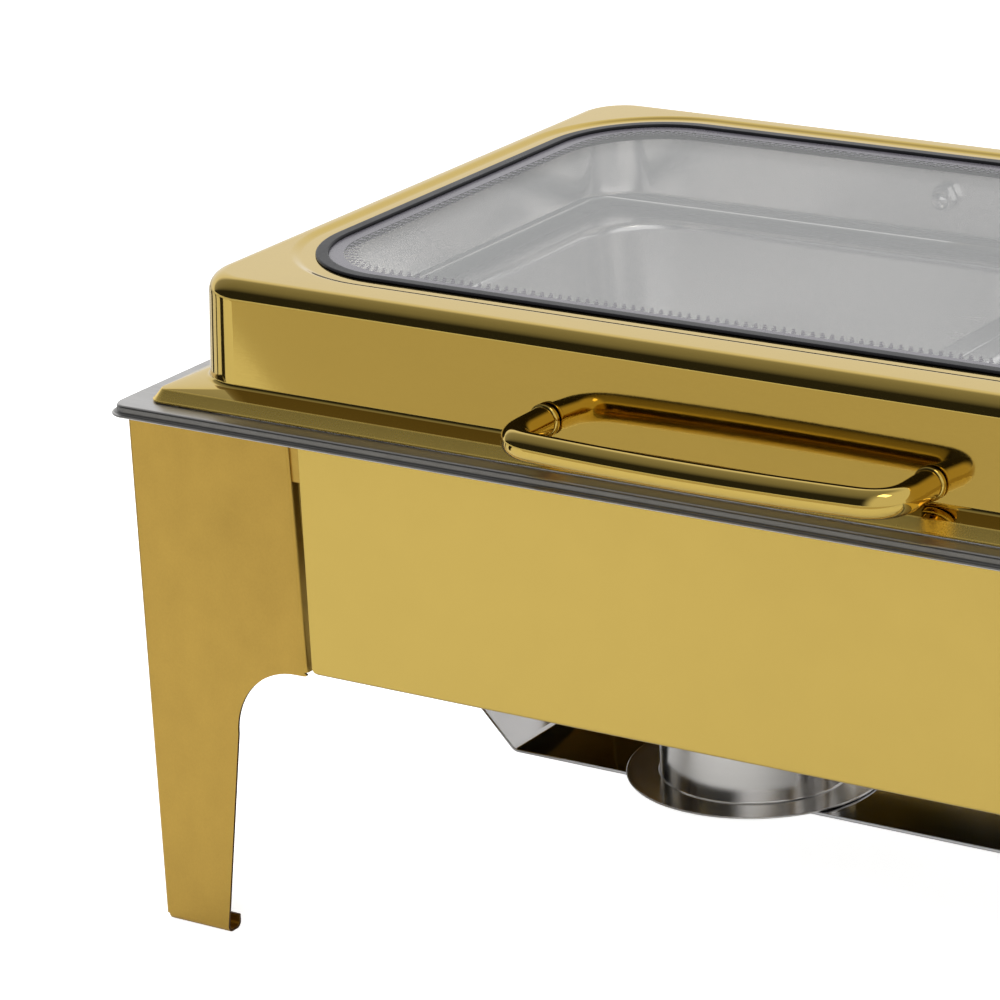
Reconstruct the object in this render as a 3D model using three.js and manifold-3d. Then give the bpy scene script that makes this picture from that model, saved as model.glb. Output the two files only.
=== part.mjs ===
// Roll top chafer: a gold coloured stainless stand on four sheet legs, a water pan with two
// half size food pans, a hinged lid with a glass window, and a shelf with two fuel holders.
// Millimetres, +Z up, front towards -Y. The origin is on the table, under the middle of the stand.
import * as THREE from 'three';
import Module from 'manifold-3d';
import { mergeVertices } from 'three/addons/utils/BufferGeometryUtils.js';

const wasm = await Module();
wasm.setup();

// ---------------------------------------------------------------- driving dimensions
const FIT = 0.3;             // air left between two pieces that touch
const SHEET = 1.2;           // legs, skirts and lid
const PAN_SHEET = 1.0;       // water pan and food pans
const CORNER_STEPS = 6;      // straight steps in a rounded corner

const STAND_LENGTH = 579;    // over the leg faces, along X
const STAND_DEPTH = 362;     // over the leg faces, along Y
const LIP_HEIGHT = 238.1;    // table to the top of the water pan's lip

const LEG_WIDTH_TOP = 83.8;
const LEG_WIDTH_SEAM = 86.4;
const LEG_WIDTH_ARCH = 47.5;
const LEG_WIDTH_FOOT = 34.5;
const ARCH_RADIUS = 33;
const SKIRT_HEIGHT = 106.2;
const SEAM_GAP = 2.6;        // groove between a leg's seam edge and the skirt, at its foot
const SEAM_RETURN = 5;       // seam edge of a leg turned inwards
const SKIRT_RETURN = 12;     // lower edge of a skirt turned inwards
const SKIRT_CORNER = 3.5;
const ARCH_BELOW_SKIRT = 1.6;   // crown of a leg's arch under the skirt's edge
const FOOT_CURL_RADIUS = 3;
const FOOT_CURL_FLAT = 3;

const RAIL_HEIGHT = 22;
const RAIL_FLANGE = 16;
const RAIL_SHEET = 1.5;

const LIP_OVERHANG = 4.9;    // top edge of the lip past the leg faces
const LIP_HEM = 2.3;
const LIP_DROP = 4.7;
const LIP_CORNER = 8;
const WATER_PAN_DEPTH = 88;
const WATER_WELL_RIM_SIDE = 40.5;   // lip's edge to the mouth of the well
const WATER_WELL_RIM_FRONT = 35.8;
const WATER_WELL_CORNER = 40;

const FOOD_PAN_WIDTH = 264.4;   // along X, two fit side by side
const FOOD_PAN_LENGTH = 325;    // along Y
const FOOD_PAN_DEPTH = 59;
const FOOD_PAN_RIM = 14;
const FOOD_PAN_CORNER = 38;
const FOOD_PAN_RIM_CORNER = 9;

const LID_INSET_SIDE = 12.4;    // lip's top edge to the lid's lower edge
const LID_INSET_FRONT = 9;
const LID_FLANGE_HEIGHT = 7.3;  // lid's lower edge to the foot of its wall
const LID_STEP = 12.5;          // lower edge to the wall, measured flat
const LID_FLARE = 4;            // how far the lower edge stands out under the shoulder
const LID_SHOULDER_DROP = 2.2;  // fall of the shoulder away from the wall
const LID_HEIGHT = 52.8;        // lid's lower edge to its top
const LID_WALL_CORNER = 26;
const LID_FILLET = 2;           // foot of the wall
const LID_EDGE_RADIUS = 8.5;
const LID_DRAFT = 1.8;          // how far the wall leans in over its height
const LID_RECESS = 1.1;         // step around the window
const LID_RECESS_MARGIN = 10.2;

const WINDOW_MARGIN_SIDE = 25;  // foot of the wall to the window opening, along X
const WINDOW_MARGIN_FRONT = 35;
const WINDOW_MARGIN_REAR = 28;
const WINDOW_CORNER = 49;
const GLASS_THICKNESS = 4;
const GLASS_BITE = 1.2;         // opening's edge to the glass edge
const GLASS_BELOW_SEAT = 0.2;
const GASKET_HALF = 3;          // opening's edge to the gasket's outer edge

const HANDLE_SPAN = 175;        // between the posts
const HANDLE_REACH = 31.5;      // wall to the bar's centre line
const HANDLE_BOW = 4;
const HANDLE_RADIUS = 6;
const HANDLE_BEND = 15;
const HANDLE_LIFT = 0.2;        // foot of the lid's wall to the collars
const HANDLE_SCREW_RADIUS = 2;
const HANDLE_SCREW_REACH = 8;   // into the bar's end
const COLLAR_RADIUS = 6.9;
const COLLAR_LENGTH = 2.4;

const HINGE_SPACING = 168;      // between the two hinges
const HINGE_BEHIND_LIP = 14;    // lip's top edge to the pin's axis
const HINGE_PIN_RADIUS = 2.5;
const HINGE_ARM_WIDTH = 24;
const HINGE_PLATE = 3;
const HINGE_EYE_RADIUS = 5.5;
const HINGE_BOLT_RADIUS = 3;
const HINGE_BOLT_HEIGHT = 25.5; // lid's lower edge to the bolt
const HINGE_BELOW_STEP = 2.4;   // lid's step to the pin's axis
const BRACKET_SCREW_RADIUS = 2;
const BRACKET_SCREW_DROPS = [8, 24];   // below the rails

const SHELF_WIDTH = 88;
const SHELF_FLOOR = 388;
const SHELF_BELOW_SKIRT = 82.6;
const SHELF_SHEET = 1.5;
const SHELF_TAB = 15;
const RIVET_RADIUS = 2;
const RIVET_INSET = 7;          // leg faces to the rivets
const RIVET_MARGIN = 12;        // shelf's edges to the rivets

const HOLDER_RADIUS = 43;
const HOLDER_HEIGHT = 64;
const HOLDER_FLANGE = 58;
const HOLDER_LEFT = -85.8;      // off the middle of the shelf, along X
const HOLDER_RIGHT = 103;
const HOLDER_FORWARD = 13.6;    // off the middle of the shelf, towards the front

// ---------------------------------------------------------------- worked out from them
const HALF_X = STAND_LENGTH / 2;
const HALF_Y = STAND_DEPTH / 2;
const SUPPORT_Z = LIP_HEIGHT - PAN_SHEET - FIT;
const SKIRT_BOTTOM = SUPPORT_Z - SKIRT_HEIGHT;
const SHELF_HEIGHT = SKIRT_BOTTOM - SHELF_BELOW_SKIRT;
const LIP = { x: HALF_X + LIP_OVERHANG, y: HALF_Y + LIP_OVERHANG, r: LIP_CORNER };
const LID_BOTTOM = LIP_HEIGHT + FIT;
const LID_TOP = LID_BOTTOM + LID_HEIGHT;
const FLANGE = { x: LIP.x - LID_INSET_SIDE, y: LIP.y - LID_INSET_FRONT, r: LIP_CORNER };
const WALL = { x: FLANGE.x - LID_STEP, y: FLANGE.y - LID_STEP, r: LID_WALL_CORNER };
const STEP_Z = LID_BOTTOM + LID_FLANGE_HEIGHT;
const SHOULDER_Z = STEP_Z - LID_SHOULDER_DROP;
const WALL_FOOT_Z = STEP_Z + LID_FILLET;
const WALL_HEAD_Z = LID_TOP - LID_EDGE_RADIUS;
const WINDOW = {
  x: WALL.x - WINDOW_MARGIN_SIDE,
  y: WALL.y - (WINDOW_MARGIN_FRONT + WINDOW_MARGIN_REAR) / 2,
  r: WINDOW_CORNER,
  cy: (WINDOW_MARGIN_FRONT - WINDOW_MARGIN_REAR) / 2,
};
const HANDLE_Z = WALL_FOOT_Z + COLLAR_RADIUS + HANDLE_LIFT;
const BOLT_Z = LID_BOTTOM + HINGE_BOLT_HEIGHT;
const HINGE_Y = LIP.y + HINGE_BEHIND_LIP;
const HINGE_Z = STEP_Z - HINGE_BELOW_STEP;

// Half depth of the lid's outer wall at a height.
function wallDepth(z) {
  return WALL.y - LID_DRAFT * (z - WALL_FOOT_Z) / (WALL_HEAD_Z - WALL_FOOT_Z);
}

// ---------------------------------------------------------------- finishes
const FINISH = {
  satinGold: { color: 0xb4944a, roughness: 0.35, metalness: 1 },
  polishedGold: { color: 0xc9a855, roughness: 0.12, metalness: 1 },
  satinSteel: { color: 0xb4b4b2, roughness: 0.35, metalness: 1 },
  mirrorSteel: { color: 0xc4c4c6, roughness: 0.08, metalness: 1 },
  rubber: { color: 0x17171a, roughness: 0.6, metalness: 0 },
  glass: { color: 0x9aa0a0, roughness: 0.05, metalness: 0, transparent: true, opacity: 0.4 },
};

const chafer = new THREE.Group();

function place(name, geometry, finish, position = [0, 0, 0]) {
  const mesh = new THREE.Mesh(geometry, new THREE.MeshStandardMaterial(FINISH[finish]));
  mesh.name = name;
  mesh.position.set(...position);
  chafer.add(mesh);
}

// ---------------------------------------------------------------- solids and booleans
function toSolid(geometry) {
  const bare = new THREE.BufferGeometry();
  bare.setAttribute('position', geometry.getAttribute('position').clone());
  if (geometry.index) bare.setIndex(geometry.index.clone());
  const merged = mergeVertices(bare, 1e-4);
  return new wasm.Manifold(new wasm.Mesh({
    numProp: 3,
    vertProperties: new Float32Array(merged.getAttribute('position').array),
    triVerts: new Uint32Array(merged.index.array),
  }));
}

function toGeometry(solid) {
  const mesh = solid.getMesh();
  const geometry = new THREE.BufferGeometry();
  geometry.setAttribute('position', new THREE.BufferAttribute(Float32Array.from(mesh.vertProperties), 3));
  geometry.setIndex(new THREE.BufferAttribute(Uint32Array.from(mesh.triVerts), 1));
  return geometry;
}

function join(first, ...others) {
  return toGeometry(others.reduce((body, other) => body.add(toSolid(other)), toSolid(first)));
}

function cut(first, ...tools) {
  return toGeometry(tools.reduce((body, tool) => body.subtract(toSolid(tool)), toSolid(first)));
}

function block(x0, x1, y0, y1, z0, z1) {
  const box = new THREE.BoxGeometry(x1 - x0, y1 - y0, z1 - z0);
  return box.translate((x0 + x1) / 2, (y0 + y1) / 2, (z0 + z1) / 2);
}

// A round bar between two values along one axis.
function rod(axis, radius, from, to, [x, y, z] = [0, 0, 0], steps = 20) {
  const bar = new THREE.CylinderGeometry(radius, radius, to - from, steps);
  bar.translate(0, (from + to) / 2, 0);
  if (axis === 'x') bar.rotateZ(-Math.PI / 2);
  if (axis === 'z') bar.rotateX(Math.PI / 2);
  return bar.translate(x, y, z);
}

// A flat outline pushed along the axis that it isn't drawn in.
function prism(plane, shape, from, to, curveSegments = 8) {
  const body = new THREE.ExtrudeGeometry(shape, { depth: to - from, bevelEnabled: false, curveSegments });
  const turn = new THREE.Matrix4();
  if (plane === 'yz') turn.set(0, 0, 1, from, 1, 0, 0, 0, 0, 1, 0, 0, 0, 0, 0, 1);
  if (plane === 'xz') turn.set(1, 0, 0, 0, 0, 0, -1, to, 0, 1, 0, 0, 0, 0, 0, 1);
  if (plane === 'xy') turn.makeTranslation(0, 0, from);
  return body.applyMatrix4(turn);
}

function polygon(points) {
  return new THREE.Shape(points.map(([a, b]) => new THREE.Vector2(a, b)));
}

// Same piece on the other side of the middle plane, with its faces still pointing out.
function mirrored(geometry, flipX, flipY) {
  const copy = geometry.index ? geometry.clone() : mergeVertices(geometry.clone());
  copy.deleteAttribute('normal');
  copy.deleteAttribute('uv');
  copy.scale(flipX ? -1 : 1, flipY ? -1 : 1, 1);
  if (flipX !== flipY) copy.index.array.reverse();
  return copy;
}

// ---------------------------------------------------------------- pressed sheet shells
// One level of a pressed piece: a rounded rectangle grown by an offset, at a height.
function level(base, grow, z) {
  const x = base.x + grow;
  const y = base.y + grow;
  const r = Math.min(Math.max(base.r + grow, 0.5), x - 0.5, y - 0.5);
  const points = [];
  for (let corner = 0; corner < 4; corner += 1) {
    const cx = (corner === 0 || corner === 3 ? 1 : -1) * (x - r) + (base.cx ?? 0);
    const cy = (corner < 2 ? 1 : -1) * (y - r) + (base.cy ?? 0);
    for (let step = 0; step <= CORNER_STEPS; step += 1) {
      const angle = (corner + step / CORNER_STEPS) * Math.PI / 2;
      points.push(new THREE.Vector3(cx + r * Math.cos(angle), cy + r * Math.sin(angle), z));
    }
  }
  return points;
}

// Skins a run of levels. A looped run closes on itself; otherwise both ends get flat floors.
function press(levels, looped) {
  const count = levels[0].length;
  const positions = levels.flat().flatMap((p) => p.toArray());
  const index = [];
  const bands = looped ? levels.length : levels.length - 1;
  for (let i = 0; i < bands; i += 1) {
    const here = i * count;
    const next = ((i + 1) % levels.length) * count;
    for (let j = 0; j < count; j += 1) {
      const k = (j + 1) % count;
      index.push(here + j, here + k, next + k, here + j, next + k, next + j);
    }
  }
  if (!looped) {
    const last = (levels.length - 1) * count;
    for (let j = 1; j < count - 1; j += 1) {
      index.push(0, j + 1, j);
      index.push(last, last + j, last + j + 1);
    }
  }
  const geometry = new THREE.BufferGeometry();
  geometry.setAttribute('position', new THREE.Float32BufferAttribute(positions, 3));
  geometry.setIndex(index);
  return geometry;
}

// Levels along a bend of the sheet: centre offset and height, radius, and angles in degrees.
function bend(base, grow, z, radius, fromDeg, toDeg, steps) {
  const run = [];
  for (let step = 0; step <= steps; step += 1) {
    const angle = THREE.MathUtils.degToRad(fromDeg + (toDeg - fromDeg) * step / steps);
    run.push(level(base, grow + radius * Math.cos(angle), z + radius * Math.sin(angle)));
  }
  return run;
}

// ---------------------------------------------------------------- stand
// One face of a leg, drawn from the corner: tapered foot, quarter arch, straight seam.
function legFace() {
  const archZ = SKIRT_BOTTOM - ARCH_BELOW_SKIRT;
  const curlTop = FOOT_CURL_RADIUS;
  const face = new THREE.Shape();
  face.moveTo(0, SUPPORT_Z);
  face.lineTo(0, curlTop);
  face.lineTo(LEG_WIDTH_FOOT, curlTop);
  face.lineTo(LEG_WIDTH_ARCH, archZ - ARCH_RADIUS);
  face.absarc(LEG_WIDTH_ARCH + ARCH_RADIUS, archZ - ARCH_RADIUS, ARCH_RADIUS, Math.PI, Math.PI / 2, true);
  face.lineTo(LEG_WIDTH_SEAM, archZ);
  face.lineTo(LEG_WIDTH_TOP, SUPPORT_Z);
  return face;
}

// The foot: the sheet's lower end is turned inwards and up again.
function footCurl() {
  const r = FOOT_CURL_RADIUS;
  const flat = FOOT_CURL_FLAT;
  const inner = r - SHEET;
  const curl = new THREE.Shape();
  curl.moveTo(0, r);
  curl.absarc(r, r, r, Math.PI, 1.5 * Math.PI, false);
  curl.absarc(r + flat, r, r, 1.5 * Math.PI, 2 * Math.PI, false);
  curl.lineTo(2 * r + flat, 2 * r);
  curl.lineTo(2 * r + flat - SHEET, 2 * r);
  curl.absarc(r + flat, r, inner, 0, -0.5 * Math.PI, true);
  curl.absarc(r, r, inner, 1.5 * Math.PI, Math.PI, true);
  curl.lineTo(SHEET, r + SHEET);
  curl.lineTo(0, r + SHEET);
  return curl;
}

// A leg with its corner at the origin, one face along +X and the other along +Y.
function legGeometry() {
  const returnTop = SUPPORT_Z - RAIL_HEIGHT - 2;
  const returnEdge = LEG_WIDTH_SEAM - SHEET - 1;
  const start = FOOT_CURL_RADIUS;
  const along = join(
    prism('xz', legFace(), 0, SHEET),
    prism('yz', footCurl(), start, LEG_WIDTH_FOOT, 3),
    block(returnEdge - 0.4, returnEdge + SHEET - 0.4, SHEET / 2, SEAM_RETURN, SKIRT_BOTTOM, returnTop),
  );
  const swapped = along.clone();
  swapped.applyMatrix4(new THREE.Matrix4().set(0, 1, 0, 0, 1, 0, 0, 0, 0, 0, 1, 0, 0, 0, 0, 1));
  swapped.index.array.reverse();
  return join(along, swapped);
}

const sides = [['front', -1], ['rear', 1]];
const ends = [['left', -1], ['right', 1]];

const leg = legGeometry();
for (const [side, sy] of sides) {
  for (const [end, sx] of ends) {
    const geometry = mirrored(leg, sx > 0, sy > 0);
    place(`leg_${side}_${end}`, geometry, 'satinGold', [sx * HALF_X, sy * HALF_Y, 0]);
  }
}

// A skirt panel of a length, facing -Y with its outer face on Y = 0, its lower edge turned in.
function skirtGeometry(length) {
  const half = length / 2;
  const r = SKIRT_CORNER;
  const panel = new THREE.Shape();
  panel.moveTo(-half, SUPPORT_Z);
  panel.lineTo(-half, SKIRT_BOTTOM + r);
  panel.absarc(-half + r, SKIRT_BOTTOM + r, r, Math.PI, 1.5 * Math.PI, false);
  panel.absarc(half - r, SKIRT_BOTTOM + r, r, 1.5 * Math.PI, 2 * Math.PI, false);
  panel.lineTo(half, SUPPORT_Z);
  return join(
    prism('xz', panel, 0, SHEET, 4),
    block(-half + r, half - r, SHEET / 2, SKIRT_RETURN, SKIRT_BOTTOM, SKIRT_BOTTOM + SHEET),
  );
}

const FRONT_SKIRT = STAND_LENGTH - 2 * (LEG_WIDTH_SEAM + SEAM_GAP);
const SIDE_SKIRT = STAND_DEPTH - 2 * (LEG_WIDTH_SEAM + SEAM_GAP);
place('skirt_front', skirtGeometry(FRONT_SKIRT), 'polishedGold', [0, -HALF_Y, 0]);

// Hinge screws go through the rear skirt, rivets through the side skirts' lower edges.
const SCREW_ROWS = BRACKET_SCREW_DROPS.map((drop) => SUPPORT_Z - RAIL_HEIGHT - drop);
const RIVET_Y = SHELF_WIDTH / 2 - RIVET_MARGIN;
const screwHoles = [];
for (const [, sx] of ends) {
  for (const z of SCREW_ROWS) {
    screwHoles.push(rod('y', BRACKET_SCREW_RADIUS + FIT, -SHEET - 5, 5, [sx * HINGE_SPACING / 2, 0, z]));
  }
}
const rearSkirt = cut(mirrored(skirtGeometry(FRONT_SKIRT), false, true), ...screwHoles);
place('skirt_rear', rearSkirt, 'polishedGold', [0, HALF_Y, 0]);
for (const [end, sx] of ends) {
  const panel = skirtGeometry(SIDE_SKIRT).rotateZ(sx * Math.PI / 2);
  const holes = [-1, 1].map((s) => rod('z', RIVET_RADIUS + FIT, SKIRT_BOTTOM - 5, SKIRT_BOTTOM + 10,
    [-sx * RIVET_INSET, s * RIVET_Y, 0], 12));
  place(`skirt_${end}`, cut(panel, ...holes), 'polishedGold', [sx * HALF_X, 0, 0]);
}

// Angle rails inside the panels: the legs and panels are welded to them, the lip rests on them.
function railGeometry(length) {
  const half = length / 2;
  return join(
    block(-half, half, 0, RAIL_SHEET, SUPPORT_Z - RAIL_HEIGHT, SUPPORT_Z),
    block(-half, half, 0, RAIL_FLANGE, SUPPORT_Z - RAIL_SHEET, SUPPORT_Z),
  );
}

const RAIL_INSET = SHEET + FIT;
const LONG_RAIL = STAND_LENGTH - 2 * (RAIL_INSET + FIT);
const SHORT_RAIL = STAND_DEPTH - 2 * (RAIL_INSET + RAIL_FLANGE + FIT);
place('rail_front', railGeometry(LONG_RAIL), 'satinGold', [0, -HALF_Y + RAIL_INSET, 0]);
place('rail_rear', mirrored(railGeometry(LONG_RAIL), false, true), 'satinGold', [0, HALF_Y - RAIL_INSET, 0]);
for (const [end, sx] of ends) {
  const rail = railGeometry(SHORT_RAIL).rotateZ(sx * Math.PI / 2);
  place(`rail_${end}`, rail, 'satinGold', [sx * (HALF_X - RAIL_INSET), 0, 0]);
}

// ---------------------------------------------------------------- water pan and food pans
function waterPanGeometry() {
  const t = PAN_SHEET;
  const well = { x: LIP.x - WATER_WELL_RIM_SIDE, y: LIP.y - WATER_WELL_RIM_FRONT, r: WATER_WELL_CORNER };
  const floor = LIP_HEIGHT - WATER_PAN_DEPTH;
  const foot = 12;
  const taper = 5;
  const under = LIP_HEIGHT - t;
  const hemZ = LIP_HEIGHT - LIP_DROP;
  return press([
    ...bend(well, -taper - foot, floor + foot, foot, -90, 0, 4),
    level(well, 0, under - 3),
    ...bend(well, 3, under - 3, 3, 180, 90, 2),
    level(LIP, -t - 0.6, under),
    level(LIP, -t, under - 0.6),
    level(LIP, -t, hemZ),
    level(LIP, LIP_HEM, hemZ),
    level(LIP, LIP_HEM, hemZ + t),
    level(LIP, 0.3, hemZ + 1.7 * t),
    level(LIP, 0, LIP_HEIGHT - 1),
    level(LIP, -1, LIP_HEIGHT),
    ...bend(well, 3, under - 3, 3 + t, 90, 180, 2),
    ...bend(well, -taper - foot, floor + foot, foot - t, 0, -90, 4),
  ], false);
}
place('water_pan', waterPanGeometry(), 'satinSteel');

function foodPanGeometry() {
  const t = PAN_SHEET;
  const rim = { x: FOOD_PAN_WIDTH / 2, y: FOOD_PAN_LENGTH / 2, r: FOOD_PAN_RIM_CORNER };
  const well = { x: rim.x - FOOD_PAN_RIM, y: rim.y - FOOD_PAN_RIM, r: FOOD_PAN_CORNER };
  const foot = 14;
  const taper = 5;
  const top = t;
  const floor = top - FOOD_PAN_DEPTH;
  return press([
    ...bend(well, -taper - foot, floor + foot, foot, -90, 0, 4),
    level(well, -0.5, -3),
    ...bend(well, 2.5, -3, 3, 180, 90, 2),
    level(rim, 0, 0),
    level(rim, 0, top),
    ...bend(well, 2.5, -3, 3 + t, 90, 180, 2),
    ...bend(well, -taper - foot, floor + foot, foot - t, 0, -90, 4),
  ], false);
}
const foodPan = foodPanGeometry();
for (const [end, sx] of ends) {
  place(`food_pan_${end}`, foodPan.clone(), 'satinSteel',
    [sx * (FOOD_PAN_WIDTH / 2 + 0.4), 0, LIP_HEIGHT + FIT]);
}

// ---------------------------------------------------------------- lid
function lidGeometry() {
  const t = SHEET;
  const edge = LID_EDGE_RADIUS;
  const crown = -LID_DRAFT - edge;
  const recessZ = LID_TOP - LID_RECESS;
  const margin = LID_RECESS_MARGIN;
  return press([
    level(FLANGE, 0, LID_BOTTOM),
    level(FLANGE, 0, LID_BOTTOM + 0.9),
    level(FLANGE, -0.5, LID_BOTTOM + 1.1),
    level(FLANGE, 0.4 - LID_FLARE, SHOULDER_Z - 0.4),
    level(FLANGE, -0.5 - LID_FLARE, SHOULDER_Z),
    ...bend(WALL, LID_FILLET, WALL_FOOT_Z, LID_FILLET, 270, 180, 2),
    ...bend(WALL, crown, WALL_HEAD_Z, edge, 0, 90, 4),
    level(WINDOW, margin + LID_RECESS, LID_TOP),
    level(WINDOW, margin, recessZ),
    level(WINDOW, 0, recessZ),
    level(WINDOW, 0, recessZ - t),
    level(WINDOW, margin, recessZ - t),
    level(WINDOW, margin + LID_RECESS, LID_TOP - t),
    ...bend(WALL, crown, WALL_HEAD_Z, edge - t, 90, 0, 4),
    ...bend(WALL, LID_FILLET, WALL_FOOT_Z, LID_FILLET + t, 180, 270, 2),
    level(FLANGE, -0.8 - LID_FLARE, SHOULDER_Z - t),
    level(FLANGE, -1.4 * t, LID_BOTTOM + 1),
    level(FLANGE, -t, LID_BOTTOM),
  ], true);
}

const lidHoles = [];
for (const [, sx] of ends) {
  const screwAt = [sx * HANDLE_SPAN / 2, 0, HANDLE_Z];
  const boltAt = [sx * HINGE_SPACING / 2, 0, BOLT_Z];
  lidHoles.push(rod('y', HANDLE_SCREW_RADIUS + FIT, -WALL.y - 3, -WALL.y + 6, screwAt));
  lidHoles.push(rod('y', HINGE_BOLT_RADIUS + FIT, WALL.y - 8, WALL.y + 3, boltAt));
}
place('lid_shell', cut(lidGeometry(), ...lidHoles), 'polishedGold');

// Rubber channel that grips the edge of the opening and the edge of the glass.
const SEAT_Z = LID_TOP - LID_RECESS;
const GLASS_TOP = SEAT_Z - GLASS_BELOW_SEAT;
function gasketGeometry() {
  const grip = GLASS_BITE + 1.4;
  const outer = GASKET_HALF;
  const slot = GLASS_BITE - FIT;
  const sheetUnder = SEAT_Z - SHEET - FIT;
  const glassUnder = GLASS_TOP - GLASS_THICKNESS - FIT;
  return press([
    level(WINDOW, outer, glassUnder - 1.2),
    level(WINDOW, outer, sheetUnder),
    level(WINDOW, -FIT, sheetUnder),
    level(WINDOW, -FIT, SEAT_Z + FIT),
    level(WINDOW, outer, SEAT_Z + FIT),
    level(WINDOW, outer - 0.3, SEAT_Z + 0.9),
    level(WINDOW, outer - 1.5, SEAT_Z + 1.3),
    level(WINDOW, 1.1 - grip, SEAT_Z + 1.3),
    level(WINDOW, 0.3 - grip, SEAT_Z + 0.9),
    level(WINDOW, -grip, GLASS_TOP + FIT),
    level(WINDOW, -slot, GLASS_TOP + FIT),
    level(WINDOW, -slot, glassUnder),
    level(WINDOW, -grip, glassUnder),
    level(WINDOW, -grip, glassUnder - 1.2),
  ], true);
}
place('window_gasket', gasketGeometry(), 'rubber');
place('window_glass', press([
  level(WINDOW, -GLASS_BITE, GLASS_TOP - GLASS_THICKNESS),
  level(WINDOW, -GLASS_BITE, GLASS_TOP),
], false), 'glass');

// ---------------------------------------------------------------- handle
const HANDLE_WALL = -wallDepth(HANDLE_Z - COLLAR_RADIUS);
const POST_END = HANDLE_WALL - FIT - COLLAR_LENGTH - FIT;
function handleGeometry() {
  const half = HANDLE_SPAN / 2;
  const barY = HANDLE_WALL - HANDLE_REACH;
  const bendY = barY + HANDLE_BEND;
  const inner = half - HANDLE_BEND;
  const path = new THREE.CurvePath();
  const at = (x, y) => new THREE.Vector3(x, y, HANDLE_Z);
  path.add(new THREE.LineCurve3(at(-half, POST_END), at(-half, bendY)));
  path.add(new THREE.QuadraticBezierCurve3(at(-half, bendY), at(-half, barY), at(-inner, barY - 1)));
  const bow = at(0, barY - 2 * HANDLE_BOW + 1);
  path.add(new THREE.QuadraticBezierCurve3(at(-inner, barY - 1), bow, at(inner, barY - 1)));
  path.add(new THREE.QuadraticBezierCurve3(at(inner, barY - 1), at(half, barY), at(half, bendY)));
  path.add(new THREE.LineCurve3(at(half, bendY), at(half, POST_END)));
  const ring = [];
  for (let k = 0; k < 12; k += 1) {
    const angle = k * Math.PI / 6;
    ring.push(new THREE.Vector2(HANDLE_RADIUS * Math.cos(angle), HANDLE_RADIUS * Math.sin(angle)));
  }
  const sweep = { steps: 32, bevelEnabled: false, extrudePath: path };
  return new THREE.ExtrudeGeometry(new THREE.Shape(ring), sweep);
}
const boreStart = POST_END - HANDLE_SCREW_REACH - 1;
const postBores = ends.map(([, sx]) => {
  const where = [sx * HANDLE_SPAN / 2, 0, HANDLE_Z];
  return rod('y', HANDLE_SCREW_RADIUS + FIT, boreStart, POST_END + 1, where, 12);
});
place('handle_bar', cut(handleGeometry(), ...postBores), 'polishedGold');

// A pan head and a shank in one piece, along +Y from its head's inner face at Y = 0.
function screwGeometry(headRadius, headHeight, shankRadius, shankLength) {
  const profile = [
    [0, -headHeight], [headRadius * 0.6, -headHeight], [headRadius, -headHeight * 0.45], [headRadius, 0],
    [shankRadius, 0], [shankRadius, shankLength], [0, shankLength],
  ];
  return new THREE.LatheGeometry(profile.map(([r, y]) => new THREE.Vector2(r, y)), 14);
}

for (const [end, sx] of ends) {
  const x = sx * HANDLE_SPAN / 2;
  const collar = cut(
    rod('y', COLLAR_RADIUS, 0, COLLAR_LENGTH),
    rod('y', HANDLE_SCREW_RADIUS + FIT, -1, COLLAR_LENGTH + 1, [0, 0, 0], 12),
  );
  place(`handle_collar_${end}`, collar, 'polishedGold', [x, HANDLE_WALL - FIT - COLLAR_LENGTH, HANDLE_Z]);
  const head = -wallDepth(HANDLE_Z + 5) + SHEET + FIT;
  const shank = head - POST_END + HANDLE_SCREW_REACH;
  const screw = screwGeometry(4.5, 2.4, HANDLE_SCREW_RADIUS, shank).rotateX(Math.PI);
  place(`handle_screw_${end}`, screw, 'satinSteel', [x, head, HANDLE_Z]);
}

// ---------------------------------------------------------------- hinges
// The arm on the lid: a plate up the rear wall, a web over the flange, and an eye on the pin.
const ARM_Y = wallDepth(WALL_FOOT_Z) + FIT + 0.1;
const ARM_FOOT_Z = WALL_FOOT_Z + 0.2;
function hingeArmGeometry() {
  const half = HINGE_ARM_WIDTH / 2;
  const body = join(
    block(-half, half, ARM_Y, ARM_Y + HINGE_PLATE, ARM_FOOT_Z, BOLT_Z + 9),
    block(-half, half, ARM_Y, HINGE_Y + 2, ARM_FOOT_Z, ARM_FOOT_Z + HINGE_PLATE),
    block(-half, half, HINGE_Y - 3, HINGE_Y + 3, HINGE_Z, ARM_FOOT_Z + HINGE_PLATE / 2),
    rod('x', HINGE_EYE_RADIUS, -half, half, [0, HINGE_Y, HINGE_Z]),
  );
  return cut(
    body,
    rod('x', HINGE_PIN_RADIUS + FIT, -half - 1, half + 1, [0, HINGE_Y, HINGE_Z]),
    rod('y', HINGE_BOLT_RADIUS + FIT, ARM_Y - 1, ARM_Y + HINGE_PLATE + 1, [0, 0, BOLT_Z], 14),
  );
}

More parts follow.
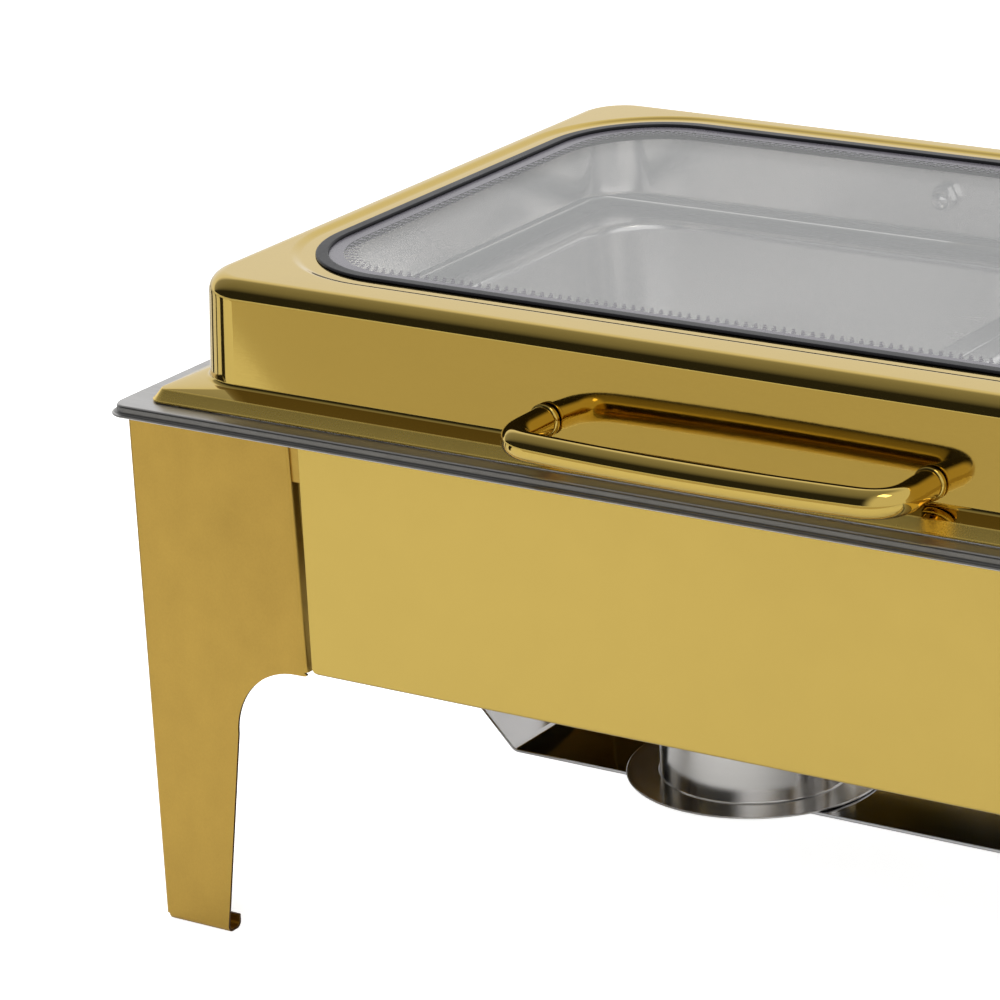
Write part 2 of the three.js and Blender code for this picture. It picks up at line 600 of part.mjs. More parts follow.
// The bracket on the rear skirt: a plate with two cheeks that reach out past the lip.
const CHEEK_X = HINGE_ARM_WIDTH / 2 + 0.6;
const CHEEK_Y = HALF_Y + FIT;
function hingeBracketGeometry() {
  const outer = CHEEK_X + HINGE_PLATE;
  const plateTop = SUPPORT_Z - 8;
  const plateBottom = SCREW_ROWS[1] - 9;
  const lipClear = LIP.y + LIP_HEM + 1.6;
  const cheek = new THREE.Shape();
  cheek.moveTo(CHEEK_Y, plateTop);
  cheek.lineTo(CHEEK_Y, plateBottom);
  cheek.lineTo(CHEEK_Y + 4, plateBottom);
  cheek.lineTo(HINGE_Y + 6, HINGE_Z - 14);
  cheek.lineTo(HINGE_Y + 6, HINGE_Z);
  cheek.absarc(HINGE_Y, HINGE_Z, 6, 0, Math.PI, false);
  cheek.lineTo(lipClear, HINGE_Z - 6);
  cheek.lineTo(lipClear, plateTop);
  const parts = [-1, 1].map((s) => prism('yz', cheek, s > 0 ? CHEEK_X : -outer, s > 0 ? outer : -CHEEK_X));
  const plate = block(-outer, outer, CHEEK_Y, CHEEK_Y + 2, plateBottom, plateTop);
  return cut(
    join(plate, ...parts),
    rod('x', HINGE_PIN_RADIUS + FIT, -outer - 1, outer + 1, [0, HINGE_Y, HINGE_Z]),
    ...SCREW_ROWS.map((z) => rod('y', BRACKET_SCREW_RADIUS + FIT, CHEEK_Y - 1, CHEEK_Y + 3, [0, 0, z], 14)),
  );
}

// Hexagon nut with a domed end, along +Y from its flat face at Y = 0.
function acornNutGeometry(radius, bore, bodyLength, domeLength, depth) {
  const hex = new THREE.CylinderGeometry(radius, radius, bodyLength, 6).translate(0, bodyLength / 2, 0);
  const dome = [];
  for (let k = 0; k <= 5; k += 1) {
    const angle = k * Math.PI / 10;
    dome.push(new THREE.Vector2(radius * 0.86 * Math.cos(angle), bodyLength + domeLength * Math.sin(angle)));
  }
  const cap = new THREE.LatheGeometry([
    new THREE.Vector2(0, bodyLength - 1),
    new THREE.Vector2(radius * 0.86, bodyLength - 1),
    ...dome.slice(0, 5),
    new THREE.Vector2(0, bodyLength + domeLength),
  ], 16);
  return cut(join(hex, cap), rod('y', bore, -1, depth, [0, 0, 0], 14));
}

// Plain hexagon nut, along +Y from Y = 0.
function nutGeometry(radius, bore, length) {
  const hex = new THREE.CylinderGeometry(radius, radius, length, 6).translate(0, length / 2, 0);
  return cut(hex, rod('y', bore, -1, length + 1, [0, 0, 0], 12));
}

for (const [end, sx] of ends) {
  const x = sx * HINGE_SPACING / 2;
  place(`hinge_arm_${end}`, hingeArmGeometry(), 'satinSteel', [x, 0, 0]);
  place(`hinge_bracket_${end}`, hingeBracketGeometry(), 'satinSteel', [x, 0, 0]);

  const pinHalf = CHEEK_X + HINGE_PLATE + 1.5;
  const pin = join(
    rod('x', HINGE_PIN_RADIUS, -pinHalf, pinHalf),
    rod('x', HINGE_PIN_RADIUS + 1.5, pinHalf - 1.2 + FIT, pinHalf + 1.2),
    rod('x', HINGE_PIN_RADIUS + 1.5, -pinHalf - 1.2, -pinHalf + 1.2 - FIT),
  );
  place(`hinge_pin_${end}`, pin, 'satinSteel', [x, HINGE_Y, HINGE_Z]);

  const boltFace = ARM_Y + HINGE_PLATE + FIT;
  const nutFace = wallDepth(BOLT_Z + 7) - SHEET - FIT;
  const bolt = screwGeometry(6, 3.4, HINGE_BOLT_RADIUS, boltFace - nutFace + 5).rotateX(Math.PI);
  place(`hinge_bolt_${end}`, bolt, 'satinSteel', [x, boltFace, BOLT_Z]);
  const nut = acornNutGeometry(6.2, HINGE_BOLT_RADIUS + FIT, 4.5, 4.5, 6).rotateX(Math.PI);
  place(`hinge_nut_${end}`, nut, 'satinSteel', [x, nutFace, BOLT_Z]);

  SCREW_ROWS.forEach((z, row) => {
    const where = row === 0 ? 'upper' : 'lower';
    const face = CHEEK_Y + 2 + FIT;
    const inside = HALF_Y - SHEET - FIT;
    const screw = screwGeometry(4, 2.4, BRACKET_SCREW_RADIUS, face - inside + 5).rotateX(Math.PI);
    place(`bracket_screw_${where}_${end}`, screw, 'satinSteel', [x, face, z]);
    place(`bracket_nut_${where}_${end}`, nutGeometry(4, BRACKET_SCREW_RADIUS + FIT, 3.2).rotateX(Math.PI),
      'satinSteel', [x, inside, z]);
  });
}

// ---------------------------------------------------------------- fuel shelf and fuel holders
function shelfGeometry() {
  const t = SHELF_SHEET;
  const floorHalf = SHELF_FLOOR / 2;
  const tabTop = SKIRT_BOTTOM - FIT;
  const tabEnd = HALF_X - SHEET - FIT;
  const tabStart = tabEnd - SHELF_TAB;
  const slope = Math.atan2(tabTop - SHELF_HEIGHT, tabStart - floorHalf);
  const lean = t * Math.tan(slope / 2);
  const right = [
    [floorHalf + lean, SHELF_HEIGHT - t], [tabStart + lean, tabTop - t], [tabEnd, tabTop - t],
    [tabEnd, tabTop], [tabStart, tabTop], [floorHalf, SHELF_HEIGHT],
  ];
  const left = right.map(([x, z]) => [-x, z]).reverse();
  const strip = prism('xz', polygon([...right, ...left]), -SHELF_WIDTH / 2, SHELF_WIDTH / 2);
  const holes = [];
  for (const [, sx] of ends) {
    for (const s of [-1, 1]) {
      holes.push(rod('z', RIVET_RADIUS + FIT, tabTop - t - 2, tabTop + 2,
        [sx * (HALF_X - RIVET_INSET), s * RIVET_Y, 0], 12));
    }
  }
  return cut(strip, ...holes);
}
place('fuel_shelf', shelfGeometry(), 'mirrorSteel');

for (const [end, sx] of ends) {
  for (const [side, sy] of sides) {
    const under = SKIRT_BOTTOM - SHELF_SHEET - 2 * FIT;
    const over = SKIRT_BOTTOM + SHEET + FIT;
    const length = over - under;
    const r = RIVET_RADIUS;
    const profile = [
      [0, -1.8], [r * 1.2, -1.6], [r * 1.9, -0.6], [r * 1.9, 0], [r, 0],
      [r, length], [r * 1.7, length], [r * 1.5, length + 1], [0, length + 1.3],
    ].map(([a, b]) => new THREE.Vector2(a, b));
    const rivet = new THREE.LatheGeometry(profile, 12).rotateX(Math.PI / 2);
    const where = [sx * (HALF_X - RIVET_INSET), sy * RIVET_Y, under];
    place(`shelf_rivet_${side}_${end}`, rivet, 'satinSteel', where);
  }
}

// A cup with a wide flat flange round its foot and a rolled rim.
function holderGeometry() {
  const t = 1;
  const wall = HOLDER_RADIUS;
  const top = HOLDER_HEIGHT;
  const profile = [
    [0, 0], [HOLDER_FLANGE, 0], [HOLDER_FLANGE, t], [wall + 0.8, t], [wall, t + 0.8],
    [wall, top - 2], [wall + 1, top - 1.4], [wall + 1, top - 0.4], [wall + 0.3, top],
    [wall - t, top - 0.4], [wall - t, t], [0, t],
  ].map(([a, b]) => new THREE.Vector2(a, b));
  return new THREE.LatheGeometry(profile, 32).rotateX(Math.PI / 2);
}
for (const [end, x] of [['left', HOLDER_LEFT], ['right', HOLDER_RIGHT]]) {
  place(`fuel_holder_${end}`, holderGeometry(), 'satinSteel', [x, -HOLDER_FORWARD, SHELF_HEIGHT + FIT]);
}

export default chafer;
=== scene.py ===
"""Roll top chafer in gold coloured and plain stainless steel: its fine shapes, finishes and studio."""

import math

import bmesh
import bpy
import numpy as np
from bpy.props import FloatProperty, FloatVectorProperty, PointerProperty
from mathutils import Matrix, Vector


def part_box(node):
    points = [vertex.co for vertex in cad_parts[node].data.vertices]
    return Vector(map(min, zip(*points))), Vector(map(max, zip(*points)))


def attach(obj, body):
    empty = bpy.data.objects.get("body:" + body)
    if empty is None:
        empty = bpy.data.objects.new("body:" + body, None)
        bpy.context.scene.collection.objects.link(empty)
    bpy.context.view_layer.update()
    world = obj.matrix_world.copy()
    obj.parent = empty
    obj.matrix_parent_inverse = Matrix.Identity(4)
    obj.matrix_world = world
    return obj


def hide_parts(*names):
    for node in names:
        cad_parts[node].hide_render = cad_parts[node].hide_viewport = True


bl_info = {
    "name": "Roll top chafer",
    "version": (1, 0, 0),
    "blender": (4, 5, 0),
    "location": "3D View > Sidebar > Chafer",
    "description": "Builds a buffet chafer's fine pieces, finishes and studio on its packed frame",
    "category": "Object",
}

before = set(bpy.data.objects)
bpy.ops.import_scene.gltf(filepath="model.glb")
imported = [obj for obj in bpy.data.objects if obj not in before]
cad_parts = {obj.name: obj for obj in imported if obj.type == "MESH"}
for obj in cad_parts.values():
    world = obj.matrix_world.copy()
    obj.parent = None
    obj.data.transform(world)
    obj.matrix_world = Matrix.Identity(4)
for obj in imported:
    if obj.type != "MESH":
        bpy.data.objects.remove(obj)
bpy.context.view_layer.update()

MM = 0.001
SIDES = (("front", -1), ("rear", 1))
ENDS = (("left", -1), ("right", 1))


def frame_box(node):
    """Lowest and highest corner of a frame node, in millimetres."""
    low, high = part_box(node)
    return np.array(low) / MM, np.array(high) / MM


# ------------------------------------------------------------------ sizes read from the frame
LEG_LOW, LEG_HIGH = frame_box("leg_front_left")
SKIRT_LOW, SKIRT_HIGH = frame_box("skirt_front")
SIDE_LOW, SIDE_HIGH = frame_box("skirt_left")
LIP_LOW, LIP_HIGH = frame_box("water_pan")
PAN_LOW, PAN_HIGH = frame_box("food_pan_left")
LID_LOW, LID_HIGH = frame_box("lid_shell")
SHELF_LOW, SHELF_HIGH = frame_box("fuel_shelf")
BAR_LOW, BAR_HIGH = frame_box("handle_bar")

HALF_X = -LEG_LOW[0]
HALF_Y = -LEG_LOW[1]
SUPPORT_Z = LEG_HIGH[2]
SKIRT_BOTTOM = SKIRT_LOW[2]
LIP_HEIGHT = LIP_HIGH[2]
LID_BOTTOM = LID_LOW[2]
LID_TOP = LID_HIGH[2]

# ------------------------------------------------------------------ sizes of the pressed shapes
HEM = 2.3
LIP_DROP = 4.7
LIP = {"x": LIP_HIGH[0] - HEM, "y": LIP_HIGH[1] - HEM, "r": 8.0}
FLANGE = {"x": LID_HIGH[0], "y": LID_HIGH[1], "r": 8.0}
FLARE = 4.0
STEP_WIDTH = 12.5
STEP_Z = LID_BOTTOM + 7.3
SHOULDER_Z = STEP_Z - 2.2
FILLET = 2.0
EDGE_RADIUS = 8.5
DRAFT = 1.8
WALL = {"x": FLANGE["x"] - STEP_WIDTH, "y": FLANGE["y"] - STEP_WIDTH, "r": 26.0}
WALL_FOOT_Z = STEP_Z + FILLET
WALL_HEAD_Z = LID_TOP - EDGE_RADIUS
WINDOW = {"x": WALL["x"] - 25, "y": WALL["y"] - 31.5, "r": 49.0, "cy": 3.5}
RECESS = 1.1
RECESS_MARGIN = 10.2
SEAT_Z = LID_TOP - RECESS
GLASS_TOP = SEAT_Z - 0.2
GLASS_THICKNESS = 4.0
GLASS_BITE = 1.2
GASKET_HALF = 3.0
WATER_WELL = {"x": LIP["x"] - 40.5, "y": LIP["y"] - 35.8, "r": 40.0}
WATER_FOOT = 12.0
FOOD_RIM_RADIUS = 9.0
FOOD_WELL_INSET = 14.0
FOOD_WELL_RADIUS = 38.0
FOOD_FOOT = 14.0
WELL_TAPER = 5.0

# ------------------------------------------------------------------ sizes of the stand
LEG_FOOT, LEG_WAIST, LEG_SEAM, LEG_TOP = 34.5, 47.5, 86.4, 83.8
ARCH_RADIUS = 33.0
CURL_RADIUS = 3.0
CURL_FLAT = 3.0
FOLD = 1.6
SEAM_RETURN = 5.0
SKIRT_CORNER = 3.5
SKIRT_RETURN = 12.0
SHELF_SHEET = 1.5
SHELF_FLOOR = 194.0
SHELF_TAB = 15.0
CUP_WALL = 43.0
CUP_SHEET = 1.0

# ------------------------------------------------------------------ shading and room
SHARP_PRESSED, SHARP_FLAT = 38, 30
RELIEF_DEPTH = 0.03
FLOOR_GLOW = 0.75
FAR_FLOOR = (
    (-2.0, -4), (4, -4), (4, -0.90), (-0.735, -0.90), (-0.92, -1.08), (-1.25, -1.4), (-2.0, -2.0),
)
DARK_STRIPS = ((200, 210), (184, 188), (163, 171), (150, 153))
HIGH_WINDOW = ((0.25, -0.5), (0.75, -0.5), (0.75, -0.1), (0.25, -0.1))
ROOM_RAMP = (
    (0.0, 1.05), (0.25, 1.05), (0.34, 0.40), (0.60, 0.28), (0.69, 0.17), (0.77, 0.03), (1.0, 0.03),
)


def length(name, description, value, least, most):
    """A length in metres that the user can change."""
    return FloatProperty(
        name=name, description=description, default=value, min=least, max=most, unit="LENGTH"
    )


class ChaferSizes(bpy.types.PropertyGroup):
    """Sizes of the sheet, the tubes and the printed band, in metres"""

    sheet: length("Sheet", "Thickness of legs, skirts and lid", 0.0012, 0.0005, 0.003)
    pan_sheet: length("Pan sheet", "Thickness of all the pans", 0.001, 0.0005, 0.002)
    corner_bend: length("Corner bend", "Outer radius of a leg's fold", 0.0022, 0.0013, 0.006)
    handle_radius: length("Handle radius", "Radius of the handle's bar", 0.006, 0.003, 0.01)
    band_width: length("Printed band", "Width of the window's dark band", 0.0064, 0.004, 0.03)
    dot_pitch: length("Dot pitch", "Distance between printed dots", 0.0044, 0.003, 0.01)


def colour(name, description, value):
    """A linear colour that the user can change."""
    return FloatVectorProperty(
        name=name, description=description, default=value, subtype="COLOR", min=0.0, max=1.0
    )


class ChaferColours(bpy.types.PropertyGroup):
    """Base colours of the finishes, linear"""

    polished_gold: colour("Polished gold", "Lid, skirts and handle", (0.60, 0.43, 0.108))
    satin_gold: colour("Satin gold", "Legs and rails", (0.56, 0.36, 0.078))
    cut_edge: colour("Cut edge", "Sheared edges of the gold sheet", (0.11, 0.055, 0.022))
    satin_steel: colour("Satin steel", "Water pan and food pans", (0.58, 0.57, 0.56))
    mirror_steel: colour("Mirror steel", "Fuel shelf", (0.70, 0.70, 0.72))
    rubber: colour("Rubber", "Channel round the window", (0.012, 0.012, 0.014))
    # Partly the glass's own grey tint, partly painted light: through the low alpha this colour lays a
    # light haze over the window in place of reflected light.
    glass: colour("Glass", "Window", (0.60, 0.61, 0.61))
    band: colour("Printed band", "Border printed on the window", (0.115, 0.108, 0.125))
    floor: colour("Floor", "Studio floor", (0.72, 0.72, 0.71))


# ------------------------------------------------------------------ profiles and grids
def level(base, grow, z):
    """One row of a pressed shape: a rounded rectangle grown by an offset, at a height."""
    radius = max(base["r"] + grow, 0.5)
    return [base["x"] + grow, base["y"] + grow, radius, base.get("cy", 0.0), z]


def bend(base, grow, z, radius, start, end, steps=8):
    """Rows along an arc: offset is grow + radius cos(angle) and height is z + radius sin(angle)."""
    angles = np.radians(np.linspace(start, end, steps + 1))
    return [level(base, grow + radius * math.cos(a), z + radius * math.sin(a)) for a in angles]


def ease(base, grow_from, grow_to, z_from, z_to, steps=8):
    """Rows along a soft step: height follows half a cosine wave while the offset changes evenly."""
    share = np.linspace(0, 1, steps + 1)
    height = z_from + (z_to - z_from) * (1 - np.cos(np.pi * share)) / 2
    grow = grow_from + (grow_to - grow_from) * share
    return [level(base, g, z) for g, z in zip(grow, height)]


def loft(rows, steps=16):
    """Points (rows, ring, 3): each row is four quarter circles of its own radius, set at the
    corners of its own rectangle, so point = corner centre + radius (cos angle, sin angle)."""
    half_x, half_y, radius, shift, z = np.array(rows, float).T[:, :, None]
    corner = np.repeat(np.arange(4), steps + 1)
    angle = (corner + np.tile(np.linspace(0, 1, steps + 1), 4)) * np.pi / 2
    sign_x = np.where((corner == 0) | (corner == 3), 1, -1)
    sign_y = np.where(corner < 2, 1, -1)
    x = sign_x * (half_x - radius) + radius * np.cos(angle)
    y = sign_y * (half_y - radius) + shift + radius * np.sin(angle)
    return np.stack(np.broadcast_arrays(x, y, z), -1)


def lathe(profile, segments=48):
    """Points (rows, segments, 3): each (radius, height) pair of the profile turned about Z."""
    radius, height = np.array(profile, float).T[:, :, None]
    angle = np.linspace(0, 2 * np.pi, segments, endpoint=False)
    return np.stack(
        np.broadcast_arrays(radius * np.cos(angle), radius * np.sin(angle), height), -1
    )


def arc(cx, cy, radius, start, end, steps=6):
    """Pairs along an arc: centre + radius (cos angle, sin angle), angles in degrees."""
    angle = np.radians(np.linspace(start, end, steps + 1))
    return [(cx + radius * math.cos(a), cy + radius * math.sin(a)) for a in angle]


def dome(radius, base, height, start=0, end=84, steps=9):
    """Pairs along a flattened arc: (radius cos angle, base + height sin angle)."""
    return [(radius * c, base + height * s) for c, s in arc(0, 0, 1, start, end, steps)]


def turned(points, axis, origin=(0, 0, 0)):
    """Points drawn about Z, turned so that Z lies along an axis, and moved to an origin."""
    x, y, z = np.moveaxis(points, -1, 0)
    swap = {"z": (x, y, z), "y": (x, z, -y), "-y": (x, -z, y), "x": (z, x, y), "-x": (-z, -x, y)}
    return np.stack(swap[axis], -1) + np.array(origin, float)


def quads(rows, columns, wrap_rows=False, wrap_columns=True):
    """Faces (rows, columns, 4) of a grid of points, closed on itself either way if asked."""
    i = np.arange(rows if wrap_rows else rows - 1)[:, None]
    j = np.arange(columns if wrap_columns else columns - 1)[None, :]
    here, above = i * columns, ((i + 1) % rows) * columns
    side = (j + 1) % columns
    return np.stack(np.broadcast_arrays(here + j, here + side, above + side, above + j), -1)


def closed_grid(points, wrap_rows=False):
    """Point list and face list of a tube of rings; its two ends get flat caps unless it loops."""
    rows, columns = points.shape[:2]
    faces = quads(rows, columns, wrap_rows).reshape(-1, 4).tolist()
    if not wrap_rows:
        ring = np.arange(columns)
        faces.append(ring[::-1].tolist())
        faces.append((ring + (rows - 1) * columns).tolist())
    return points.reshape(-1, 3), faces


def joined(parts):
    """Several (points, faces) pairs as one."""
    points, faces, start = [], [], 0
    for part_points, part_faces in parts:
        points.append(part_points)
        faces += [[start + k for k in face] for face in part_faces]
        start += len(part_points)
    return np.concatenate(points), faces


def band_materials(points, row_material, capped=True):
    """Material index of each face of a closed grid, from the index of each band of rows."""
    rows, columns = points.shape[:2]
    per_face = np.repeat(np.array(row_material, int), columns).tolist()
    return per_face + ([row_material[0], row_material[-1]] if capped else [])


def add_piece(name, mesh, body, nodes, sharp):
    """A smooth object of a mesh, sharp at its folds, riding on a body and standing for nodes."""
    mesh.polygons.foreach_set("use_smooth", np.ones(len(mesh.polygons), bool))
    mesh.set_sharp_from_angle(angle=math.radians(sharp))
    obj = bpy.data.objects.new(name, mesh)
    bpy.context.scene.collection.objects.link(obj)
    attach(obj, body)
    if nodes:
        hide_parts(*nodes)
    return obj


def piece(name, shape, body, nodes, materials, indices=None, uv=None):
    """One object from (points, faces) in millimetres, riding on a body and standing for nodes."""
    points, faces = shape
    mesh = bpy.data.meshes.new(name)
    mesh.from_pydata((np.asarray(points) * MM).tolist(), [], faces)
    if indices is not None:
        mesh.polygons.foreach_set("material_index", indices)
    if uv is not None:
        corners = np.empty(len(mesh.loops), int)
        mesh.loops.foreach_get("vertex_index", corners)
        layer = mesh.uv_layers.new(name="grain")
        layer.data.foreach_set("uv", np.asarray(uv, np.float32)[corners].ravel())
    for material in materials:
        mesh.materials.append(bpy.data.materials[material])
    obj = add_piece(name, mesh, body, nodes, SHARP_PRESSED)
    mesh.validate()
    return obj


def weighted(obj):
    """Normals weighted by face area, so that flat sheet stays flat beside its rounded folds."""
    obj.modifiers.new("even_normals", "WEIGHTED_NORMAL").keep_sharp = True
    return obj


def fitted(node, axis, end=0):
    """Where a turned shape starts on an axis of its frame node's box, its radius and length."""
    low, high = frame_box(node)
    along = "xyz".index(axis)
    origin = (low + high) / 2
    origin[along] = (low, high)[end][along]
    size = high - low
    return origin, size[(along + 1) % 3] / 2, size[along]


def turned_piece(node, body, axis, profile, segments, origin):
    """A steel fastener turned from a profile, in place of its frame node."""
    weighted(piece(
        node + "_fine", closed_grid(turned(lathe(profile, segments), axis, origin)), body,
        [node], ["hardware_steel"],
    ))


def ease_edges(obj, width, angle=40):
    """Rounds the sharp edges of a piece a little."""
    bevel = obj.modifiers.new("eased_edges", "BEVEL")
    bevel.width = width * MM
    bevel.segments = 2
    bevel.limit_method = "ANGLE"
    bevel.angle_limit = math.radians(angle)
    bevel.miter_outer = "MITER_ARC"


def sheet_metal(obj, thickness, edge_bevel=0.2, rim=1):
    """Gives an open surface its thickness, on the side away from its normals, with eased edges."""
    solid = obj.modifiers.new("sheet", "SOLIDIFY")
    solid.thickness = thickness
    solid.offset = -1
    solid.use_even_offset = True
    solid.material_offset_rim = rim
    ease_edges(obj, edge_bevel)
    weighted(obj)


def refined(node, body, material, width):
    """A merged copy of a frame node, its flat faces made whole and its edges eased."""
    work = bmesh.new()
    work.from_mesh(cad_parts[node].data)
    bmesh.ops.remove_doubles(work, verts=work.verts, dist=1e-6)
    bmesh.ops.dissolve_limit(
        work, angle_limit=math.radians(1), verts=work.verts, edges=work.edges
    )
    mesh = bpy.data.meshes.new(node + "_fine")
    work.to_mesh(mesh)
    work.free()
    mesh.materials.append(bpy.data.materials[material])
    mesh.polygons.foreach_set("material_index", np.zeros(len(mesh.polygons), int))
    obj = add_piece(node + "_fine", mesh, body, [node], SHARP_FLAT)
    ease_edges(obj, width, angle=35)
    weighted(obj)


# ------------------------------------------------------------------ shared shading effects
def socket(group, name, kind, way, value=None):
    """Adds one named input or output to a node group."""
    made = group.interface.new_socket(name=name, in_out=way, socket_type="NodeSocket" + kind)
    if value is not None:
        made.default_value = value


def feed(tree, node, inputs):
    """Gives each input of a node its value, or a link from the socket that it follows."""
    for key, value in inputs.items():
        if isinstance(value, bpy.types.NodeSocket):
            tree.links.new(value, node.inputs[key])
        else:
            node.inputs[key].default_value = value
    return node


def add_node(tree, kind, inputs=None, **settings):
    """A new node with its settings and inputs."""
    node = tree.nodes.new("ShaderNode" + kind)
    for name, value in settings.items():
        setattr(node, name, value)
    return feed(tree, node, inputs or {})


def grain_group():
    """Grain pressed or brushed into metal: fractal noise on stretched coordinates, with a slower
    noise for tone."""
    group = bpy.data.node_groups.new("metal_grain", "ShaderNodeTree")
    socket(group, "Vector", "Vector", "INPUT")
    socket(group, "Stretch", "Vector", "INPUT", (1, 1, 1))
    socket(group, "Scale", "Float", "INPUT", 800.0)
    socket(group, "Height", "Float", "OUTPUT")
    socket(group, "Tone", "Float", "OUTPUT")
    come = group.nodes.new("NodeGroupInput").outputs
    pull = add_node(
        group, "VectorMath", {0: come["Vector"], 1: come["Stretch"]}, operation="MULTIPLY"
    ).outputs[0]
    fine = add_node(
        group, "TexNoise", {"Vector": pull, "Scale": come["Scale"], "Detail": 4, "Roughness": 0.65}
    ).outputs["Fac"]
    slower = add_node(group, "Math", {0: come["Scale"], 1: 0.06}, operation="MULTIPLY").outputs[0]
    slow = add_node(
        group, "TexNoise", {"Vector": pull, "Scale": slower, "Detail": 3}
    ).outputs["Fac"]
    blend = add_node(group, "Mix", {"Factor": 0.45, "A": fine, "B": slow}).outputs["Result"]
    feed(group, group.nodes.new("NodeGroupOutput"), {"Height": fine, "Tone": blend})


def marks_group():
    """Faint handling marks: cloudy noise cut to soft patches, from 0 where clean to 1."""
    group = bpy.data.node_groups.new("handling_marks", "ShaderNodeTree")
    socket(group, "Vector", "Vector", "INPUT")
    socket(group, "Scale", "Float", "INPUT", 12.0)
    socket(group, "Mask", "Float", "OUTPUT")
    come = group.nodes.new("NodeGroupInput").outputs
    cloud = add_node(group, "TexNoise", {
        "Vector": come["Vector"], "Scale": come["Scale"], "Detail": 5, "Distortion": 0.4,
    }).outputs["Fac"]
    cut = add_node(
        group, "MapRange", {"Value": cloud, "From Min": 0.42, "From Max": 0.72},
        interpolation_type="SMOOTHSTEP",
    ).outputs["Result"]
    feed(group, group.nodes.new("NodeGroupOutput"), {"Mask": cut})


def coordinates(tree, follow_surface):
    """The coordinates that a pattern reads: the piece's own UV map, or its object's space."""
    if follow_surface:
        return add_node(tree, "UVMap", uv_map="grain").outputs["UV"]
    return add_node(tree, "TexCoord").outputs["Object"]


def mixed_colour(tree, factor, first, second):
    """Colour between two colours, by a factor that changes over the surface."""
    return add_node(tree, "Mix", {0: factor, 6: first, 7: second}, data_type="RGBA").outputs[2]


def shaded(colour_value, factor):
    """A colour made lighter or darker by a factor, and never quite white."""
    return tuple(min(c * factor, 0.95) for c in colour_value)


def metal(
    name, colour_value, shade, roughness, spread, stretch, scale, bump, marks=0.0,
    marks_scale=9.0, metallic=1.0, follow_surface=False,
):
    """A metal finish: tone and roughness follow the grain, with faint marks over them."""
    material = bpy.data.materials.new(name)
    material.use_nodes = True
    tree = material.node_tree
    where = coordinates(tree, follow_surface)
    grain = add_node(
        tree, "Group", {"Vector": where, "Stretch": stretch, "Scale": scale},
        node_tree=bpy.data.node_groups["metal_grain"],
    ).outputs
    clouds = add_node(
        tree, "Group", {"Vector": where, "Scale": marks_scale},
        node_tree=bpy.data.node_groups["handling_marks"],
    ).outputs["Mask"]
    tone = mixed_colour(
        tree, grain["Tone"], (*colour_value, 1), (*shaded(colour_value, shade), 1)
    )
    evenness = add_node(tree, "MapRange", {
        "Value": grain["Tone"], "From Min": 0.25, "From Max": 0.75,
        "To Min": roughness - spread, "To Max": roughness + spread,
    }).outputs["Result"]
    cloudy = add_node(
        tree, "Math", {0: clouds, 1: marks, 2: evenness}, operation="MULTIPLY_ADD"
    ).outputs[0]
    relief = add_node(tree, "Bump", {
        "Strength": bump, "Distance": RELIEF_DEPTH * MM, "Height": grain["Height"],
    }).outputs["Normal"]
    feed(tree, tree.nodes["Principled BSDF"], {
        "Metallic": metallic, "Base Color": tone, "Roughness": cloudy, "Normal": relief,
    })
    return material


def dielectric(name, colour_value, shade, roughness, scale, bump, alpha=1.0, ior=1.5):
    """A finish that isn't metal: rubber, glass and print, with a faint tone and relief."""
    tree = metal(
        name, colour_value, shade, roughness, roughness * 0.25, (1, 1, 1), scale, bump,
        marks=0.02, metallic=0.0,
    ).node_tree
    feed(tree, tree.nodes["Principled BSDF"], {"IOR": ior, "Alpha": alpha})
    return tree


def floor_finish(colour_value):
    """The floor's finish: what the camera sees of it also glows, so that it stays white."""
    tree = dielectric("floor", colour_value, 0.99, 0.7, 20, 0.0)
    seen = add_node(tree, "LightPath").outputs["Is Camera Ray"]
    glow = add_node(tree, "Math", {0: seen, 1: FLOOR_GLOW}, operation="MULTIPLY").outputs[0]
    feed(tree, tree.nodes["Principled BSDF"], {
        "Emission Color": (1, 1, 1, 1), "Emission Strength": glow,
    })


